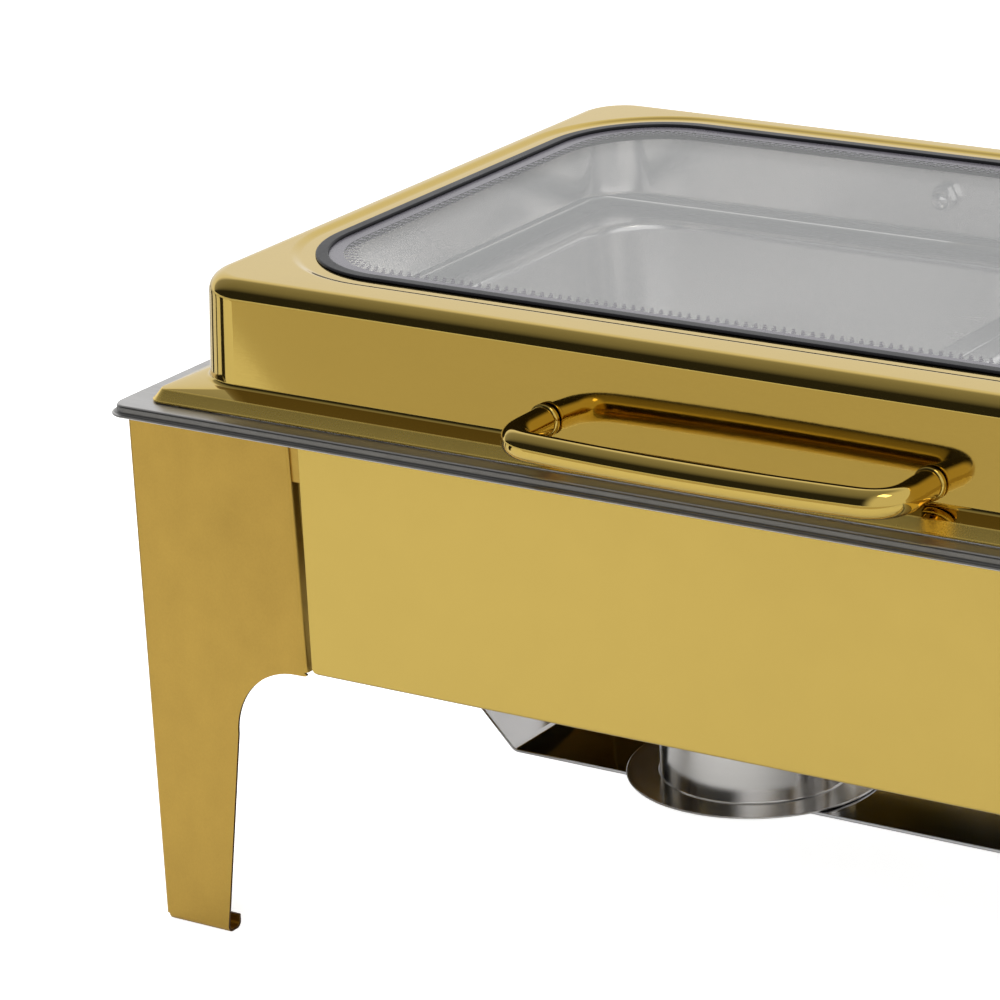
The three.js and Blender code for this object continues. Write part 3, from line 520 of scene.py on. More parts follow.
def make_finishes(colours):
    """Every finish that the pieces use, by name."""
    grain_group()
    marks_group()
    gold, satin = tuple(colours.polished_gold), tuple(colours.satin_gold)
    steel, mirror = tuple(colours.satin_steel), tuple(colours.mirror_steel)
    even = (1, 1, 1)
    metal("lid_gold", gold, 0.88, 0.055, 0.015, (0.25, 1, 1), 1100, 0.05, marks=0.03)
    # Painted light: the flange band is the lid's own gold made 1.6 times lighter and paler; its grain
    # and roughness are the flange's own finish.
    metal("flange_gold_painted_light", shaded(gold, 1.6), 0.7, 0.26, 0.06, even, 1500, 0.5, marks=0.05)
    metal("skirt_gold", gold, 0.93, 0.20, 0.02, even, 900, 0.04, marks=0.05, marks_scale=5)
    metal("handle_gold", gold, 0.95, 0.05, 0.01, even, 1200, 0.03, marks=0.02)
    metal("leg_gold", satin, 0.78, 0.33, 0.06, (1, 1, 0.7), 1300, 0.55, marks=0.05)
    metal("cut_edge", tuple(colours.cut_edge), 0.6, 0.45, 0.1, even, 2500, 0.6)
    # Painted light: the pans' steel is the steel colour made 1.5 times lighter, standing in for light
    # on the pans seen through the window.
    metal("pan_steel_painted_light", shaded(steel, 1.5), 0.93, 0.22, 0.03, (0.02, 1, 1), 2600, 0.08, marks=0.05)
    metal("lip_steel", steel, 0.6, 0.34, 0.06, (0.05, 1, 1), 1500, 0.7, marks=0.06)
    # Painted shade: the lip's outer face, with the turns above and below it, is the steel colour
    # darkened to 0.45.
    metal("lip_edge_steel_painted_shade", shaded(steel, 0.45), 0.7, 0.38, 0.06, even, 1800, 0.8)
    # Painted light: the lid's plain steel lining is the steel colour made 1.5 times lighter, standing
    # in for light inside the window.
    metal("lid_lining_painted_light", shaded(steel, 1.5), 0.94, 0.22, 0.02, even, 1500, 0.02, marks=0.04)
    metal("shelf_steel", mirror, 0.95, 0.05, 0.015, even, 900, 0.03, marks=0.05)
    metal("hardware_steel", shaded(steel, 1.4), 0.9, 0.2, 0.04, even, 1500, 0.25)
    metal(
        "turned_steel", shaded(steel, 1.35), 0.7, 0.17, 0.05, (1, 0.001, 0), 3000, 0.5,
        follow_surface=True,
    )
    dielectric("rubber", tuple(colours.rubber), 0.6, 0.30, 900, 0.3, ior=1.22)
    dielectric("printed_band", tuple(colours.band), 0.85, 0.25, 500, 0.1)
    # Painted light: the glass's grey base colour, seen at low alpha, is a haze that lightens the
    # window and stands in for its reflection; the grey tint itself is real.
    dielectric("glass", tuple(colours.glass), 0.97, 0.04, 60, 0.0, alpha=0.22)
    floor_finish(tuple(colours.floor))


# ------------------------------------------------------------------ lid
def lid_rows(t):
    """Profile of the lid, from its lower edge up the outside, to the window, and back inside."""
    crown = -DRAFT - EDGE_RADIUS
    hem, shoulder = 0.45, 1.5
    outside = [
        *bend(FLANGE, -hem, LID_BOTTOM + hem, hem, -90, 75, 6),
        level(FLANGE, -0.75, LID_BOTTOM + 1.1),
        *bend(FLANGE, -FLARE - 0.87, SHOULDER_Z - 1.29, shoulder, 40, 71, 5),
        *bend(WALL, FILLET, WALL_FOOT_Z, FILLET, 270, 180, 6),
        *bend(WALL, crown, WALL_HEAD_Z, EDGE_RADIUS, 2, 90, 12),
        *ease(WINDOW, RECESS_MARGIN + 3.6, RECESS_MARGIN - 1.4, LID_TOP, SEAT_Z, 8),
        level(WINDOW, 0, SEAT_Z),
    ]
    inside = [
        level(WINDOW, 0, SEAT_Z - t),
        *ease(WINDOW, RECESS_MARGIN - 1.4, RECESS_MARGIN + 3.6, SEAT_Z - t, LID_TOP - t, 6),
        *bend(WALL, crown, WALL_HEAD_Z, EDGE_RADIUS - t, 90, 0, 8),
        *bend(WALL, FILLET, WALL_FOOT_Z, FILLET + t, 180, 270, 6),
        level(FLANGE, -FLARE - 0.8, SHOULDER_Z - t),
        level(FLANGE, -1.4 * t, LID_BOTTOM + 1),
        level(FLANGE, -t, LID_BOTTOM),
    ]
    return outside, inside


class ChaferLid(bpy.types.Operator):
    """Pressed lid shell, gold outside with its flange band lighter as painted light, and plain steel
    inside lightened as painted light
    """

    bl_idname = "chafer.lid"
    bl_label = "Lid"

    def execute(self, context):
        outside, inside = lid_rows(context.scene.chafer_sizes.sheet / MM)
        points = loft(outside + inside, 20)
        bands = np.zeros(len(outside) + len(inside), int)
        # Band 1, the hem, flange and shoulder, takes the lighter flange gold: painted light.
        bands[: 7 + 1 + 5] = 1
        # The inside takes the lining steel, lightened as painted light.
        bands[len(outside) :] = 2
        weighted(piece(
            "lid_shell_fine", closed_grid(points, True), "lid", ["lid_shell"],
            ["lid_gold", "flange_gold_painted_light", "lid_lining_painted_light"], band_materials(points, bands, False),
        ))
        return {"FINISHED"}


def along_window(inset, distances):
    """Points at distances along a rounded rectangle inset from the opening: a dense outline's
    running length is inverted by straight interpolation."""
    outline = loft([level(WINDOW, -inset, 0)], 40)[0]
    outline = np.vstack([outline, outline[:1]])
    length = np.concatenate([[0], np.cumsum(np.linalg.norm(np.diff(outline, axis=0), axis=1))])
    place = np.mod(distances, 1) * length[-1]
    return np.stack([np.interp(place, length, outline[:, k]) for k in (0, 1)], -1), length[-1]


def printed_dots(inset, pitch, radius, phase, z, thickness):
    """Short prisms of eight sides, evenly spaced along an inset outline."""
    perimeter = along_window(inset, np.array([0.0]))[1]
    count = int(perimeter / pitch)
    centres, _ = along_window(inset, (np.arange(count) + phase) / count)
    angle = (np.arange(8) + 0.5) * np.pi / 4
    ring = radius * np.stack([np.cos(angle), np.sin(angle)], -1)
    flat = centres[:, None, :] + ring[None, :, :]
    low = np.concatenate([flat, np.full((count, 8, 1), z)], -1)
    high = np.concatenate([flat, np.full((count, 8, 1), z + thickness)], -1)
    points = np.concatenate([low, high], 1).reshape(-1, 3)
    k = np.arange(8)
    walls = np.stack([k, (k + 1) % 8, (k + 1) % 8 + 8, k + 8], -1)
    start = np.arange(count)[:, None, None] * 16
    faces = (walls[None] + start).reshape(-1, 4).tolist()
    faces += (k[::-1][None] + start[:, :, 0]).tolist()
    faces += (k[None] + 8 + start[:, :, 0]).tolist()
    return points, faces


class ChaferWindow(bpy.types.Operator):
    """Glass, the rubber channel that holds it, and the border printed on it"""

    bl_idname = "chafer.window"
    bl_label = "Window"

    def execute(self, context):
        sizes = context.scene.chafer_sizes
        grip, slot = GLASS_BITE + 1.4, GLASS_BITE - 0.3
        sheet_under = SEAT_Z - 1.5
        glass_under = GLASS_TOP - GLASS_THICKNESS - 0.3
        bead = 0.9
        channel = [
            level(WINDOW, GASKET_HALF, glass_under - 1.2),
            level(WINDOW, GASKET_HALF, sheet_under),
            level(WINDOW, -0.3, sheet_under),
            level(WINDOW, -0.3, SEAT_Z + 0.3),
            level(WINDOW, GASKET_HALF, SEAT_Z + 0.3),
            *bend(WINDOW, GASKET_HALF - bead, SEAT_Z + 0.4, bead, 5, 90, 5),
            *bend(WINDOW, bead - grip, SEAT_Z + 0.4, bead, 90, 175, 5),
            level(WINDOW, -grip, GLASS_TOP + 0.3),
            level(WINDOW, -slot, GLASS_TOP + 0.3),
            level(WINDOW, -slot, glass_under),
            level(WINDOW, -grip, glass_under),
            level(WINDOW, -grip, glass_under - 1.2),
        ]
        weighted(piece(
            "window_gasket_fine", closed_grid(loft(channel, 20), True), "lid",
            ["window_gasket"], ["rubber"],
        ))

        edge = 0.6
        pane = [
            *bend(WINDOW, -GLASS_BITE - edge, GLASS_TOP - GLASS_THICKNESS + edge, edge, -90, 0, 4),
            *bend(WINDOW, -GLASS_BITE - edge, GLASS_TOP - edge, edge, 0, 90, 4),
        ]
        weighted(piece(
            "window_glass_fine", closed_grid(loft(pane, 20)), "lid",
            ["window_glass"], ["glass"],
        ))

        z, thickness = GLASS_TOP + 0.04, 0.06
        outer, width = grip - 0.8, sizes.band_width / MM
        inner = grip + width
        band = [
            level(WINDOW, -inner, z), level(WINDOW, -outer, z),
            level(WINDOW, -outer, z + thickness), level(WINDOW, -inner, z + thickness),
        ]
        pitch = sizes.dot_pitch / MM
        rows = [(inner + 1.3, 1.05, 0.0), (inner + 3.3, 0.85, 0.5), (inner + 5.3, 0.65, 0.0)]
        dots = [printed_dots(i, pitch, r, phase, z, thickness) for i, r, phase in rows]
        shape = joined([closed_grid(loft(band, 20), True), *dots])
        piece("window_border", shape, "lid", [], ["printed_band"])
        return {"FINISHED"}


# ------------------------------------------------------------------ handle
def bezier(p0, p1, p2, count):
    """Points of a quadratic curve: (1-s)^2 p0 + 2 s (1-s) p1 + s^2 p2 for s from 0 to 1."""
    s = np.linspace(0, 1, count)[:, None]
    return (1 - s) ** 2 * p0 + 2 * s * (1 - s) * p1 + s**2 * p2


class ChaferHandle(bpy.types.Operator):
    """Bowed round bar across the front of the lid, its collars and the screws inside"""

    bl_idname = "chafer.handle"
    bl_label = "Handle"

    def execute(self, context):
        radius = context.scene.chafer_sizes.handle_radius / MM
        half = BAR_HIGH[0] - radius
        z = (BAR_LOW[2] + BAR_HIGH[2]) / 2
        end_y = BAR_HIGH[1]
        bow = 4.0
        bar_y = end_y + 3.0 - 31.5
        bend_length = 15.0
        inner = half - bend_length
        at = lambda x, y: np.array([[x, y, z]])
        runs = [
            at(-half, end_y),
            at(-half, (end_y + bar_y + bend_length) / 2),
            bezier(at(-half, bar_y + bend_length), at(-half, bar_y), at(-inner, bar_y - 1), 22),
            bezier(at(-inner, bar_y - 1), at(0, bar_y - 2 * bow + 1), at(inner, bar_y - 1), 40)[1:],
            bezier(at(inner, bar_y - 1), at(half, bar_y), at(half, bar_y + bend_length), 22)[1:],
            at(half, (end_y + bar_y + bend_length) / 2),
            at(half, end_y),
        ]
        path = np.concatenate(runs)
        along = np.gradient(path, axis=0)
        along /= np.linalg.norm(along, axis=1, keepdims=True)
        across = np.cross([0, 0, 1], along)
        angle = np.linspace(0, 2 * np.pi, 28, endpoint=False)
        circle = np.cos(angle)[None, :, None] * across[:, None, :]
        circle = circle + np.sin(angle)[None, :, None] * np.array([0, 0, 1.0])
        points = path[:, None, :] + radius * circle
        weighted(piece(
            "handle_bar_fine", closed_grid(points), "lid", ["handle_bar"],
            ["handle_gold"],
        ))

        for end, _ in ENDS:
            node = "handle_collar_" + end
            centre, r, depth = fitted(node, "y")
            bore = 2.3
            profile = [
                (bore, 0), (r - 0.9, 0), *arc(r - 0.9, 0.9, 0.9, -90, 0, 5),
                *arc(r - 0.5, depth - 0.5, 0.5, 0, 90, 3), (bore, depth),
            ]
            weighted(piece(
                "handle_collar_fine_" + end,
                closed_grid(turned(lathe(profile, 48), "y", centre), True), "lid", [node],
                ["handle_gold"],
            ))
            screw_piece("handle_screw_" + end, "lid", "y", 2.0, 2.4)
        return {"FINISHED"}


def screw_piece(node, body, axis, shank, head):
    """A screw with a low domed head, from a frame node's box: the head is at the high end of the
    axis, as deep as given, and the shank fills the rest."""
    origin, r, reach = fitted(node, axis)
    seat = reach - head
    profile = [
        (0.3, 0), (shank - 0.4, 0), (shank, 0.4), (shank, seat), (r - 0.2, seat), (r, seat + 0.2),
        *dome(r, seat + 0.3, head - 0.3, 5),
    ]
    turned_piece(node, body, axis, profile, 32, origin)


# ------------------------------------------------------------------ pans
def well_bottom(well, floor, foot, offset, start, end, steps=8):
    """The rounded foot of a tapered well, where its wall turns into its floor."""
    return bend(well, -WELL_TAPER - foot, floor + foot, foot - offset, start, end, steps)


def water_pan_rows(t):
    """Profile of the water pan, from the middle of its underside to its lip, and back inside."""
    well, floor = WATER_WELL, LIP_LOW[2]
    under, hem_z = LIP_HEIGHT - t, LIP_HEIGHT - LIP_DROP
    below = [
        *well_bottom(well, floor, WATER_FOOT, 0, -90, 0),
        level(well, 0, under - 3),
        *bend(well, 3, under - 3, 3, 180, 90, 5),
        level(LIP, -t - 1, under),
        level(LIP, -t, under - 1),
        level(LIP, -t, hem_z),
    ]
    side = [
        *bend(LIP, HEM - 0.5, hem_z + 0.5, 0.5, -90, 90, 6),
        *bend(LIP, 1.3, hem_z + 2.2, 1.2, 270, 180, 5),
    ]
    above = [
        *bend(LIP, -1.2, LIP_HEIGHT - 1.2, 1.2, 0, 90, 5),
        *bend(well, 3, under - 3, 3 + t, 90, 180, 6),
        *well_bottom(well, floor, WATER_FOOT, t, 0, -90),
    ]
    return below, side, above


def food_pan_rows(t):
    """Profile of a half size food pan, rim at the top, from its underside round to its inside."""
    half_x, half_y = (PAN_HIGH[:2] - PAN_LOW[:2]) / 2
    rim = {"x": half_x, "y": half_y, "r": FOOD_RIM_RADIUS}
    well = {"x": half_x - FOOD_WELL_INSET, "y": half_y - FOOD_WELL_INSET, "r": FOOD_WELL_RADIUS}
    under, floor = PAN_HIGH[2] - t, PAN_LOW[2]
    return [
        *well_bottom(well, floor, FOOD_FOOT, 0, -90, 0),
        level(well, -0.5, under - 3),
        *bend(well, 2.5, under - 3, 3, 180, 90, 4),
        level(rim, -0.45, under),
        *bend(rim, -0.5, under + 0.5, 0.5, -70, 90, 6),
        *bend(well, 2.5, under - 3, 3 + t, 90, 180, 6),
        *well_bottom(well, floor, FOOD_FOOT, t, 0, -90, 9),
    ]


class ChaferPans(bpy.types.Operator):
    """Water pan with its turned-out lip, and the two half size food pans"""

    bl_idname = "chafer.pans"
    bl_label = "Pans"

    def execute(self, context):
        t = context.scene.chafer_sizes.pan_sheet / MM
        below, side, above = water_pan_rows(t)
        points = loft(below + side + above, 16)
        # Band 0, the well and the inside of the water pan, takes the lightened pan steel: painted
        # light.
        bands = np.zeros(len(below) + len(side) + len(above) - 1, int)
        edge = len(below) + len(side)
        bands[len(below) - 1 : len(below) + 7] = 1
        # Band 2, the lip's outer face and the turns above and below it, takes the darkened steel:
        # painted shade.
        bands[len(below) + 7 : edge + 2] = 2
        bands[edge + 2 : edge + 7] = 1
        weighted(piece(
            "water_pan_fine", closed_grid(points), "root", ["water_pan"],
            ["pan_steel_painted_light", "lip_steel", "lip_edge_steel_painted_shade"], band_materials(points, bands),
        ))
        for end, _ in ENDS:
            node = "food_pan_" + end
            low, high = frame_box(node)
            points = loft(food_pan_rows(t), 16)
            points[..., 0] += (low[0] + high[0]) / 2
            # The food pans take the same lightened steel: painted light.
            weighted(piece(
                "food_pan_fine_" + end, closed_grid(points), node, [node],
                ["pan_steel_painted_light"],
            ))
        return {"FINISHED"}


# ------------------------------------------------------------------ stand
def leg_outline():
    """Heights and face widths of a leg: straight taper, quarter arch, straight seam."""
    arch_z, r = SKIRT_BOTTOM - FOLD, ARCH_RADIUS
    taper_z = np.linspace(CURL_RADIUS, arch_z - r, 10)
    share = (taper_z - CURL_RADIUS) / (arch_z - r - CURL_RADIUS)
    taper_w = LEG_FOOT + (LEG_WAIST - LEG_FOOT) * share
    angle = np.radians(np.linspace(180, 90, 19))[1:]
    arch_w, arch_h = LEG_WAIST + r + r * np.cos(angle), arch_z - r + r * np.sin(angle)
    corner_w = np.array([84.0, 85.6, LEG_SEAM])
    corner_h = arch_z + np.array([0.03, 0.25, 0.8])
    seam_z = np.linspace(SKIRT_BOTTOM + 0.2, SUPPORT_Z, 12)
    share = (seam_z - seam_z[0]) / (SUPPORT_Z - seam_z[0])
    seam_w = LEG_SEAM + (LEG_TOP - LEG_SEAM) * share
    heights = np.concatenate([taper_z, arch_h, corner_h, seam_z])
    widths = np.concatenate([taper_w, arch_w, corner_w, seam_w])
    return heights, widths


def leg_half(heights, widths, corner, fold, depth):
    """Half of a leg's section at each height, from the middle of its corner fold along one face
    to the turned-in seam: arcs of 45 and 90 degrees joined by straight runs."""
    w = widths[:, None]
    turn = np.where(heights[:, None] >= SKIRT_BOTTOM, fold, 0.0)
    a = np.radians(np.linspace(45, 0, 5))[None, :]
    x0, y0 = corner - corner * np.sin(a), corner - corner * np.cos(a)
    share = np.linspace(0, 1, 13)[None, 1:]
    x1 = corner + (w - turn - corner) * share
    b = np.radians(np.linspace(0, 90, 6))[None, 1:]
    x2, y2 = w - turn + turn * np.sin(b), turn - turn * np.cos(b)
    x3, y3 = w + 0 * turn, np.where(turn > 0, depth, 0.0)
    rows = len(heights)
    x = np.concatenate([np.repeat(x0, rows, 0), x1, x2, x3], 1)
    y = np.concatenate([np.repeat(y0, rows, 0), 0 * x1, y2, y3], 1)
    return x, y


def foot_turn(steps=10):
    """The lower end of a leg's face, turned inwards and up: depth and height along it."""
    r, flat = CURL_RADIUS, CURL_FLAT
    first = arc(r, r, r, 180, 270, steps)[1:]
    second = arc(r + flat, r, r, 270, 360, steps)
    path = np.array([*first, *second, (2 * r + flat, 2 * r)])
    return path[:, 0], path[:, 1]


class ChaferLegs(bpy.types.Operator):
    """Four corner legs of folded satin sheet, with arched inner edges and curled feet"""

    bl_idname = "chafer.legs"
    bl_label = "Legs"

    def execute(self, context):
        sizes = context.scene.chafer_sizes
        corner = sizes.corner_bend / MM
        heights, widths = leg_outline()
        x, y = leg_half(heights, widths, corner, FOLD, SEAM_RETURN)
        bend_columns, face_columns = 5, 12
        turn_y, turn_z = foot_turn()
        curl_x = np.repeat(x[:1], len(turn_y), 0)
        curl_y = np.repeat(turn_y[::-1, None], x.shape[1], 1)
        curl_z = turn_z[::-1]
        x_all, y_all = np.vstack([curl_x, x]), np.vstack([curl_y, y])
        z_all = np.concatenate([curl_z, heights])
        first = np.stack([x_all[:, ::-1], y_all[:, ::-1]], -1)
        second = np.stack([y_all[:, 1:], x_all[:, 1:]], -1)
        flat = np.concatenate([first, second], 1)
        rows, columns = flat.shape[:2]
        z = np.repeat(z_all[:, None, None], columns, 1)
        points = np.concatenate([flat, z], -1)
        faces = quads(rows, columns, False, False)
        band = np.arange(rows - 1)[:, None]
        column = np.arange(columns - 1)[None, :]
        middle = (columns - 1) // 2
        away = np.where(column < middle, middle - 1 - column, column - middle)
        curls = band < len(curl_z)
        low = z_all[:-1, None] < SKIRT_BOTTOM
        keep = ~(curls & (away < bend_columns - 1))
        keep &= ~(low & (away >= bend_columns - 1 + face_columns))
        kept = faces[np.broadcast_to(keep, faces.shape[:2])]
        used, index = np.unique(kept, return_inverse=True)
        kept = index.reshape(-1, 4)
        base = points.reshape(-1, 3)[used]
        for side, sy in SIDES:
            for end, sx in ENDS:
                placed = base * [-sx, -sy, 1] + [sx * HALF_X, sy * HALF_Y, 0]
                facing = kept[:, ::-1] if sx * sy > 0 else kept
                name = f"leg_{side}_{end}"
                sheet_metal(piece(
                    name + "_fine", (placed, facing.tolist()), "root", [name],
                    ["leg_gold", "cut_edge"],
                ), sizes.sheet)
        return {"FINISHED"}


def panel_grid(half, bottom, top, corner, fold, depth):
    """A skirt panel facing -Y on Y = 0: straight above, an arc of the fold's radius at its lower
    edge, then a strip turned in. Its half width shrinks along the corner's own arc."""
    z_face = np.concatenate([
        np.linspace(top, bottom + corner, 8), bottom + corner * (1 - np.linspace(0, 1, 6)[1:-1]),
    ])
    z_face = z_face[z_face > bottom + fold + 0.05]
    a = np.radians(np.linspace(0, 90, 7))
    fold_y, fold_z = fold - fold * np.cos(a), bottom + fold - fold * np.sin(a)
    y = np.concatenate([0 * z_face, fold_y, [depth]])
    z = np.concatenate([z_face, fold_z, [bottom]])
    drop = np.clip(bottom + corner - z, 0, corner)
    width = half - corner + np.sqrt(np.maximum(corner**2 - drop**2, 0.0))
    share = np.linspace(-1, 1, 25)
    x = width[:, None] * share
    return np.stack(np.broadcast_arrays(x, y[:, None], z[:, None]), -1)


class ChaferSkirts(bpy.types.Operator):
    """Four polished panels between the legs, lower edges turned in, and the rails behind them"""

    bl_idname = "chafer.skirts"
    bl_label = "Skirts"

    def execute(self, context):
        sizes = context.scene.chafer_sizes
        for side, low, high, turn in (
            ("front", SKIRT_LOW, SKIRT_HIGH, 0), ("rear", SKIRT_LOW, SKIRT_HIGH, 2),
            ("left", SIDE_LOW, SIDE_HIGH, 3), ("right", SIDE_LOW, SIDE_HIGH, 1),
        ):
            half, off = (high[0], HALF_Y) if turn % 2 == 0 else (high[1], HALF_X)
            grid = panel_grid(half, low[2], high[2], SKIRT_CORNER, FOLD, SKIRT_RETURN)
            x, y = grid[..., 0].copy(), grid[..., 1] - off
            cosine, sine = [(1, 0), (0, 1), (-1, 0), (0, -1)][turn]
            grid[..., 0], grid[..., 1] = cosine * x - sine * y, sine * x + cosine * y
            rows, columns = grid.shape[:2]
            faces = quads(rows, columns, False, False).reshape(-1, 4)[:, ::-1]
            sheet_metal(piece(
                f"skirt_{side}_fine", (grid.reshape(-1, 3), faces.tolist()), "root",
                ["skirt_" + side], ["skirt_gold", "cut_edge"],
            ), sizes.sheet)
        for side in ("front", "rear", "left", "right"):
            refined("rail_" + side, "root", "leg_gold", 0.4)
        return {"FINISHED"}


# ------------------------------------------------------------------ shelf and fuel holders
def rounded_path(corners, radii, steps=8):
    """A line through corners, each inner one replaced by an arc of its radius that touches both
    of its straight runs."""
    path = [np.array(corners[0], float)]
    for k in range(1, len(corners) - 1):
        here = np.array(corners[k], float)
        back = np.array(corners[k - 1]) - here
        ahead = np.array(corners[k + 1]) - here
        back, ahead = back / np.linalg.norm(back), ahead / np.linalg.norm(ahead)
        half = math.acos(np.clip(np.dot(back, ahead), -1, 1)) / 2
        centre = here + (back + ahead) / np.linalg.norm(back + ahead) * radii[k] / math.sin(half)
        start = here + back * radii[k] / math.tan(half) - centre
        end = here + ahead * radii[k] / math.tan(half) - centre
        share = np.linspace(0, 1, steps + 1)[:, None]
        sweep = math.pi - 2 * half
        points = (np.sin((1 - share) * sweep) * start + np.sin(share * sweep) * end)
        path.extend(centre + points / math.sin(sweep))
    path.append(np.array(corners[-1], float))
    return np.array(path)


class ChaferShelf(bpy.types.Operator):
    """Bent mirror strip under the stand, its rivets, and the two loose fuel holders"""

    bl_idname = "chafer.shelf"
    bl_label = "Fuel shelf"

    def execute(self, context):
        end_x, half_y, top = SHELF_HIGH
        floor_z = SHELF_LOW[2] + SHELF_SHEET
        right = [(SHELF_FLOOR, floor_z), (end_x - SHELF_TAB, top), (end_x, top)]
        corners = [(-x, z) for x, z in right[::-1]] + right
        path = rounded_path(corners, [0, 5.0, 4.0, 4.0, 5.0, 0])
        across = np.linspace(-1, 1, 9) * half_y
        x, y = np.meshgrid(path[:, 0], across, indexing="ij")
        z = np.repeat(path[:, 1:2], len(across), 1)
        grid = np.stack([x, y, z], -1)
        faces = quads(*grid.shape[:2], False, False).reshape(-1, 4)[:, ::-1]
        sheet_metal(piece(
            "fuel_shelf_fine", (grid.reshape(-1, 3), faces.tolist()), "root", ["fuel_shelf"],
            ["shelf_steel"],
        ), SHELF_SHEET * MM, 0.25, rim=0)
        for side, _ in SIDES:
            for end, _ in ENDS:
                self.rivet(f"shelf_rivet_{side}_{end}")
        for end, _ in ENDS:
            self.holder("fuel_holder_" + end)
        return {"FINISHED"}

    def rivet(self, node):
        """A rivet: domed head below, short shank, flattened head above."""
        origin, r, reach = fitted(node, "z")
        shank, lower, upper = 2.0, 1.8, 1.3
        profile = [
            *dome(r, lower, lower, -84, 0, 7), (shank, lower), (shank, reach - upper),
            *dome(3.4, reach - upper, upper, steps=7),
        ]
        turned_piece(node, "root", "z", profile, 24, origin)

    def holder(self, node):
        """A fuel holder: a cup with a rolled rim on a wide flat foot, turned about its axis."""
        origin, flange, top = fitted(node, "z")
        wall, t = CUP_WALL, CUP_SHEET
        profile = np.array([
            (1.0, 0), (flange - 0.5, 0), *arc(flange - 0.5, 0.5, 0.5, -90, 90, 6),
            *arc(wall + 0.8, t + 0.8, 0.8, 270, 180, 6),
            (wall, top - 4.0), *arc(wall, top - 1.2, 1.15, -60, 180, 12),
            (wall - t, top - 2.2), *arc(wall - t - 3, t + 3, 3.0, 0, -90, 6), (1.0, t),
        ])
        points = lathe(profile, 112)
        along = np.concatenate([[0], np.cumsum(np.linalg.norm(np.diff(profile, axis=0), axis=1))])
        uv = np.stack(np.broadcast_arrays(along[:, None] * MM, 0 * points[..., 0]), -1)
        weighted(piece(
            node + "_fine", closed_grid(turned(points, "z", origin)), node, [node],
            ["turned_steel"], uv=uv.reshape(-1, 2),
        ))


# ------------------------------------------------------------------ hinges
def hexagon(angle, radius):
    """Distance from the middle to a hexagon's side at an angle: its flat over the cosine of the
    angle to the nearest flat's middle."""
    sixth = np.pi / 3
    return radius * math.cos(sixth / 2) / np.cos(np.mod(angle, sixth) - sixth / 2)


def nut_rings(radius, body, ball, segments=72):
    """Rings of a hexagon nut: each is the smaller of the hexagon and a chamfer's circle, and with
    a ball's height the rings go on as half a ball."""
    angle = np.linspace(0, 2 * np.pi, segments, endpoint=False)
    hexed = hexagon(angle, radius)
    flat = radius * math.cos(math.pi / 6)
    chamfer = [(0.0, flat), (0.5, radius), (body - 0.5, radius), (body, flat)]
    rings = [(z, np.minimum(hexed, cap)) for z, cap in chamfer]
    if ball:
        rings += [(z, np.full(segments, reach)) for reach, z in dome(flat - 0.4, body, ball)]
    z = np.array([r[0] for r in rings])[:, None]
    reach = np.array([r[1] for r in rings])
    return np.stack(
        np.broadcast_arrays(reach * np.cos(angle), reach * np.sin(angle), z), -1
    )


class ChaferHinges(bpy.types.Operator):
    """Two strap hinges at the rear with their pins, bolts, domed nuts and screws"""

    bl_idname = "chafer.hinges"
    bl_label = "Hinges"

    def execute(self, context):
        for end, _ in ENDS:
            refined("hinge_arm_" + end, "lid", "hardware_steel", 0.5)
            refined("hinge_bracket_" + end, "root", "hardware_steel", 0.4)
            self.pin("hinge_pin_" + end)
            screw_piece("hinge_bolt_" + end, "lid", "y", 3.0, 3.4)
            self.nut("hinge_nut_" + end, "lid", 6.2, 4.5, 4.5)
            for row in ("upper", "lower"):
                screw_piece(f"bracket_screw_{row}_{end}", "root", "y", 2.0, 2.4)
                self.nut(f"bracket_nut_{row}_{end}", "root", 4.0, 3.2, 0.0)
        return {"FINISHED"}

    def nut(self, node, body, radius, depth, ball):
        """A nut whose flat face is at the high end of its frame node."""
        points = turned(nut_rings(radius, depth, ball), "-y", fitted(node, "y", 1)[0])
        weighted(piece(
            node + "_fine", closed_grid(points), body, [node],
            ["hardware_steel"],
        ))

    def pin(self, node):
        """A hinge pin with a domed head at both ends."""
        origin, head, reach = fitted(node, "x")
        r, bulge, deep = 2.5, 1.2, 2.1
        profile = [
            *dome(head, bulge, bulge, -84, 0, 6), (head, deep), (r, deep), (r, reach - deep),
            (head, reach - deep), *dome(head, reach - bulge, bulge, steps=6),
        ]
        turned_piece(node, "root", "x", profile, 32, origin)


# ------------------------------------------------------------------ studio
def flat(name, corners, material):
    """A flat object of the studio, through corners in metres."""
    mesh = bpy.data.meshes.new(name)
    mesh.from_pydata(corners, [], [list(range(len(corners)))])
    mesh.materials.append(material)
    obj = bpy.data.objects.new(name, mesh)
    bpy.context.scene.collection.objects.link(obj)
    return obj


def card(name, corners, height, strength, tint):
    """A level card, glowing or nearly black, that only reflections see."""
    material = bpy.data.materials.new(name)
    material.use_nodes = True
    tree = material.node_tree
    tree.nodes.clear()
    glow = add_node(tree, "Emission", {"Color": (*tint, 1), "Strength": strength})
    add_node(tree, "OutputMaterial", {"Surface": glow.outputs[0]})
    obj = flat(name, [(x, y, height) for x, y in corners], material)
    obj.visible_camera = False
    obj.visible_diffuse = False
    obj.visible_shadow = False


def area_light(name, place, target, size, power):
    """A square softbox that points at a target."""
    light = bpy.data.lights.new(name, "AREA")
    light.size = size
    light.energy = power
    obj = bpy.data.objects.new(name, light)
    obj.visible_glossy = False
    obj.location = place
    obj.rotation_mode = "QUATERNION"
    obj.rotation_quaternion = (Vector(target) - Vector(place)).to_track_quat("-Z", "Y")
    bpy.context.scene.collection.objects.link(obj)


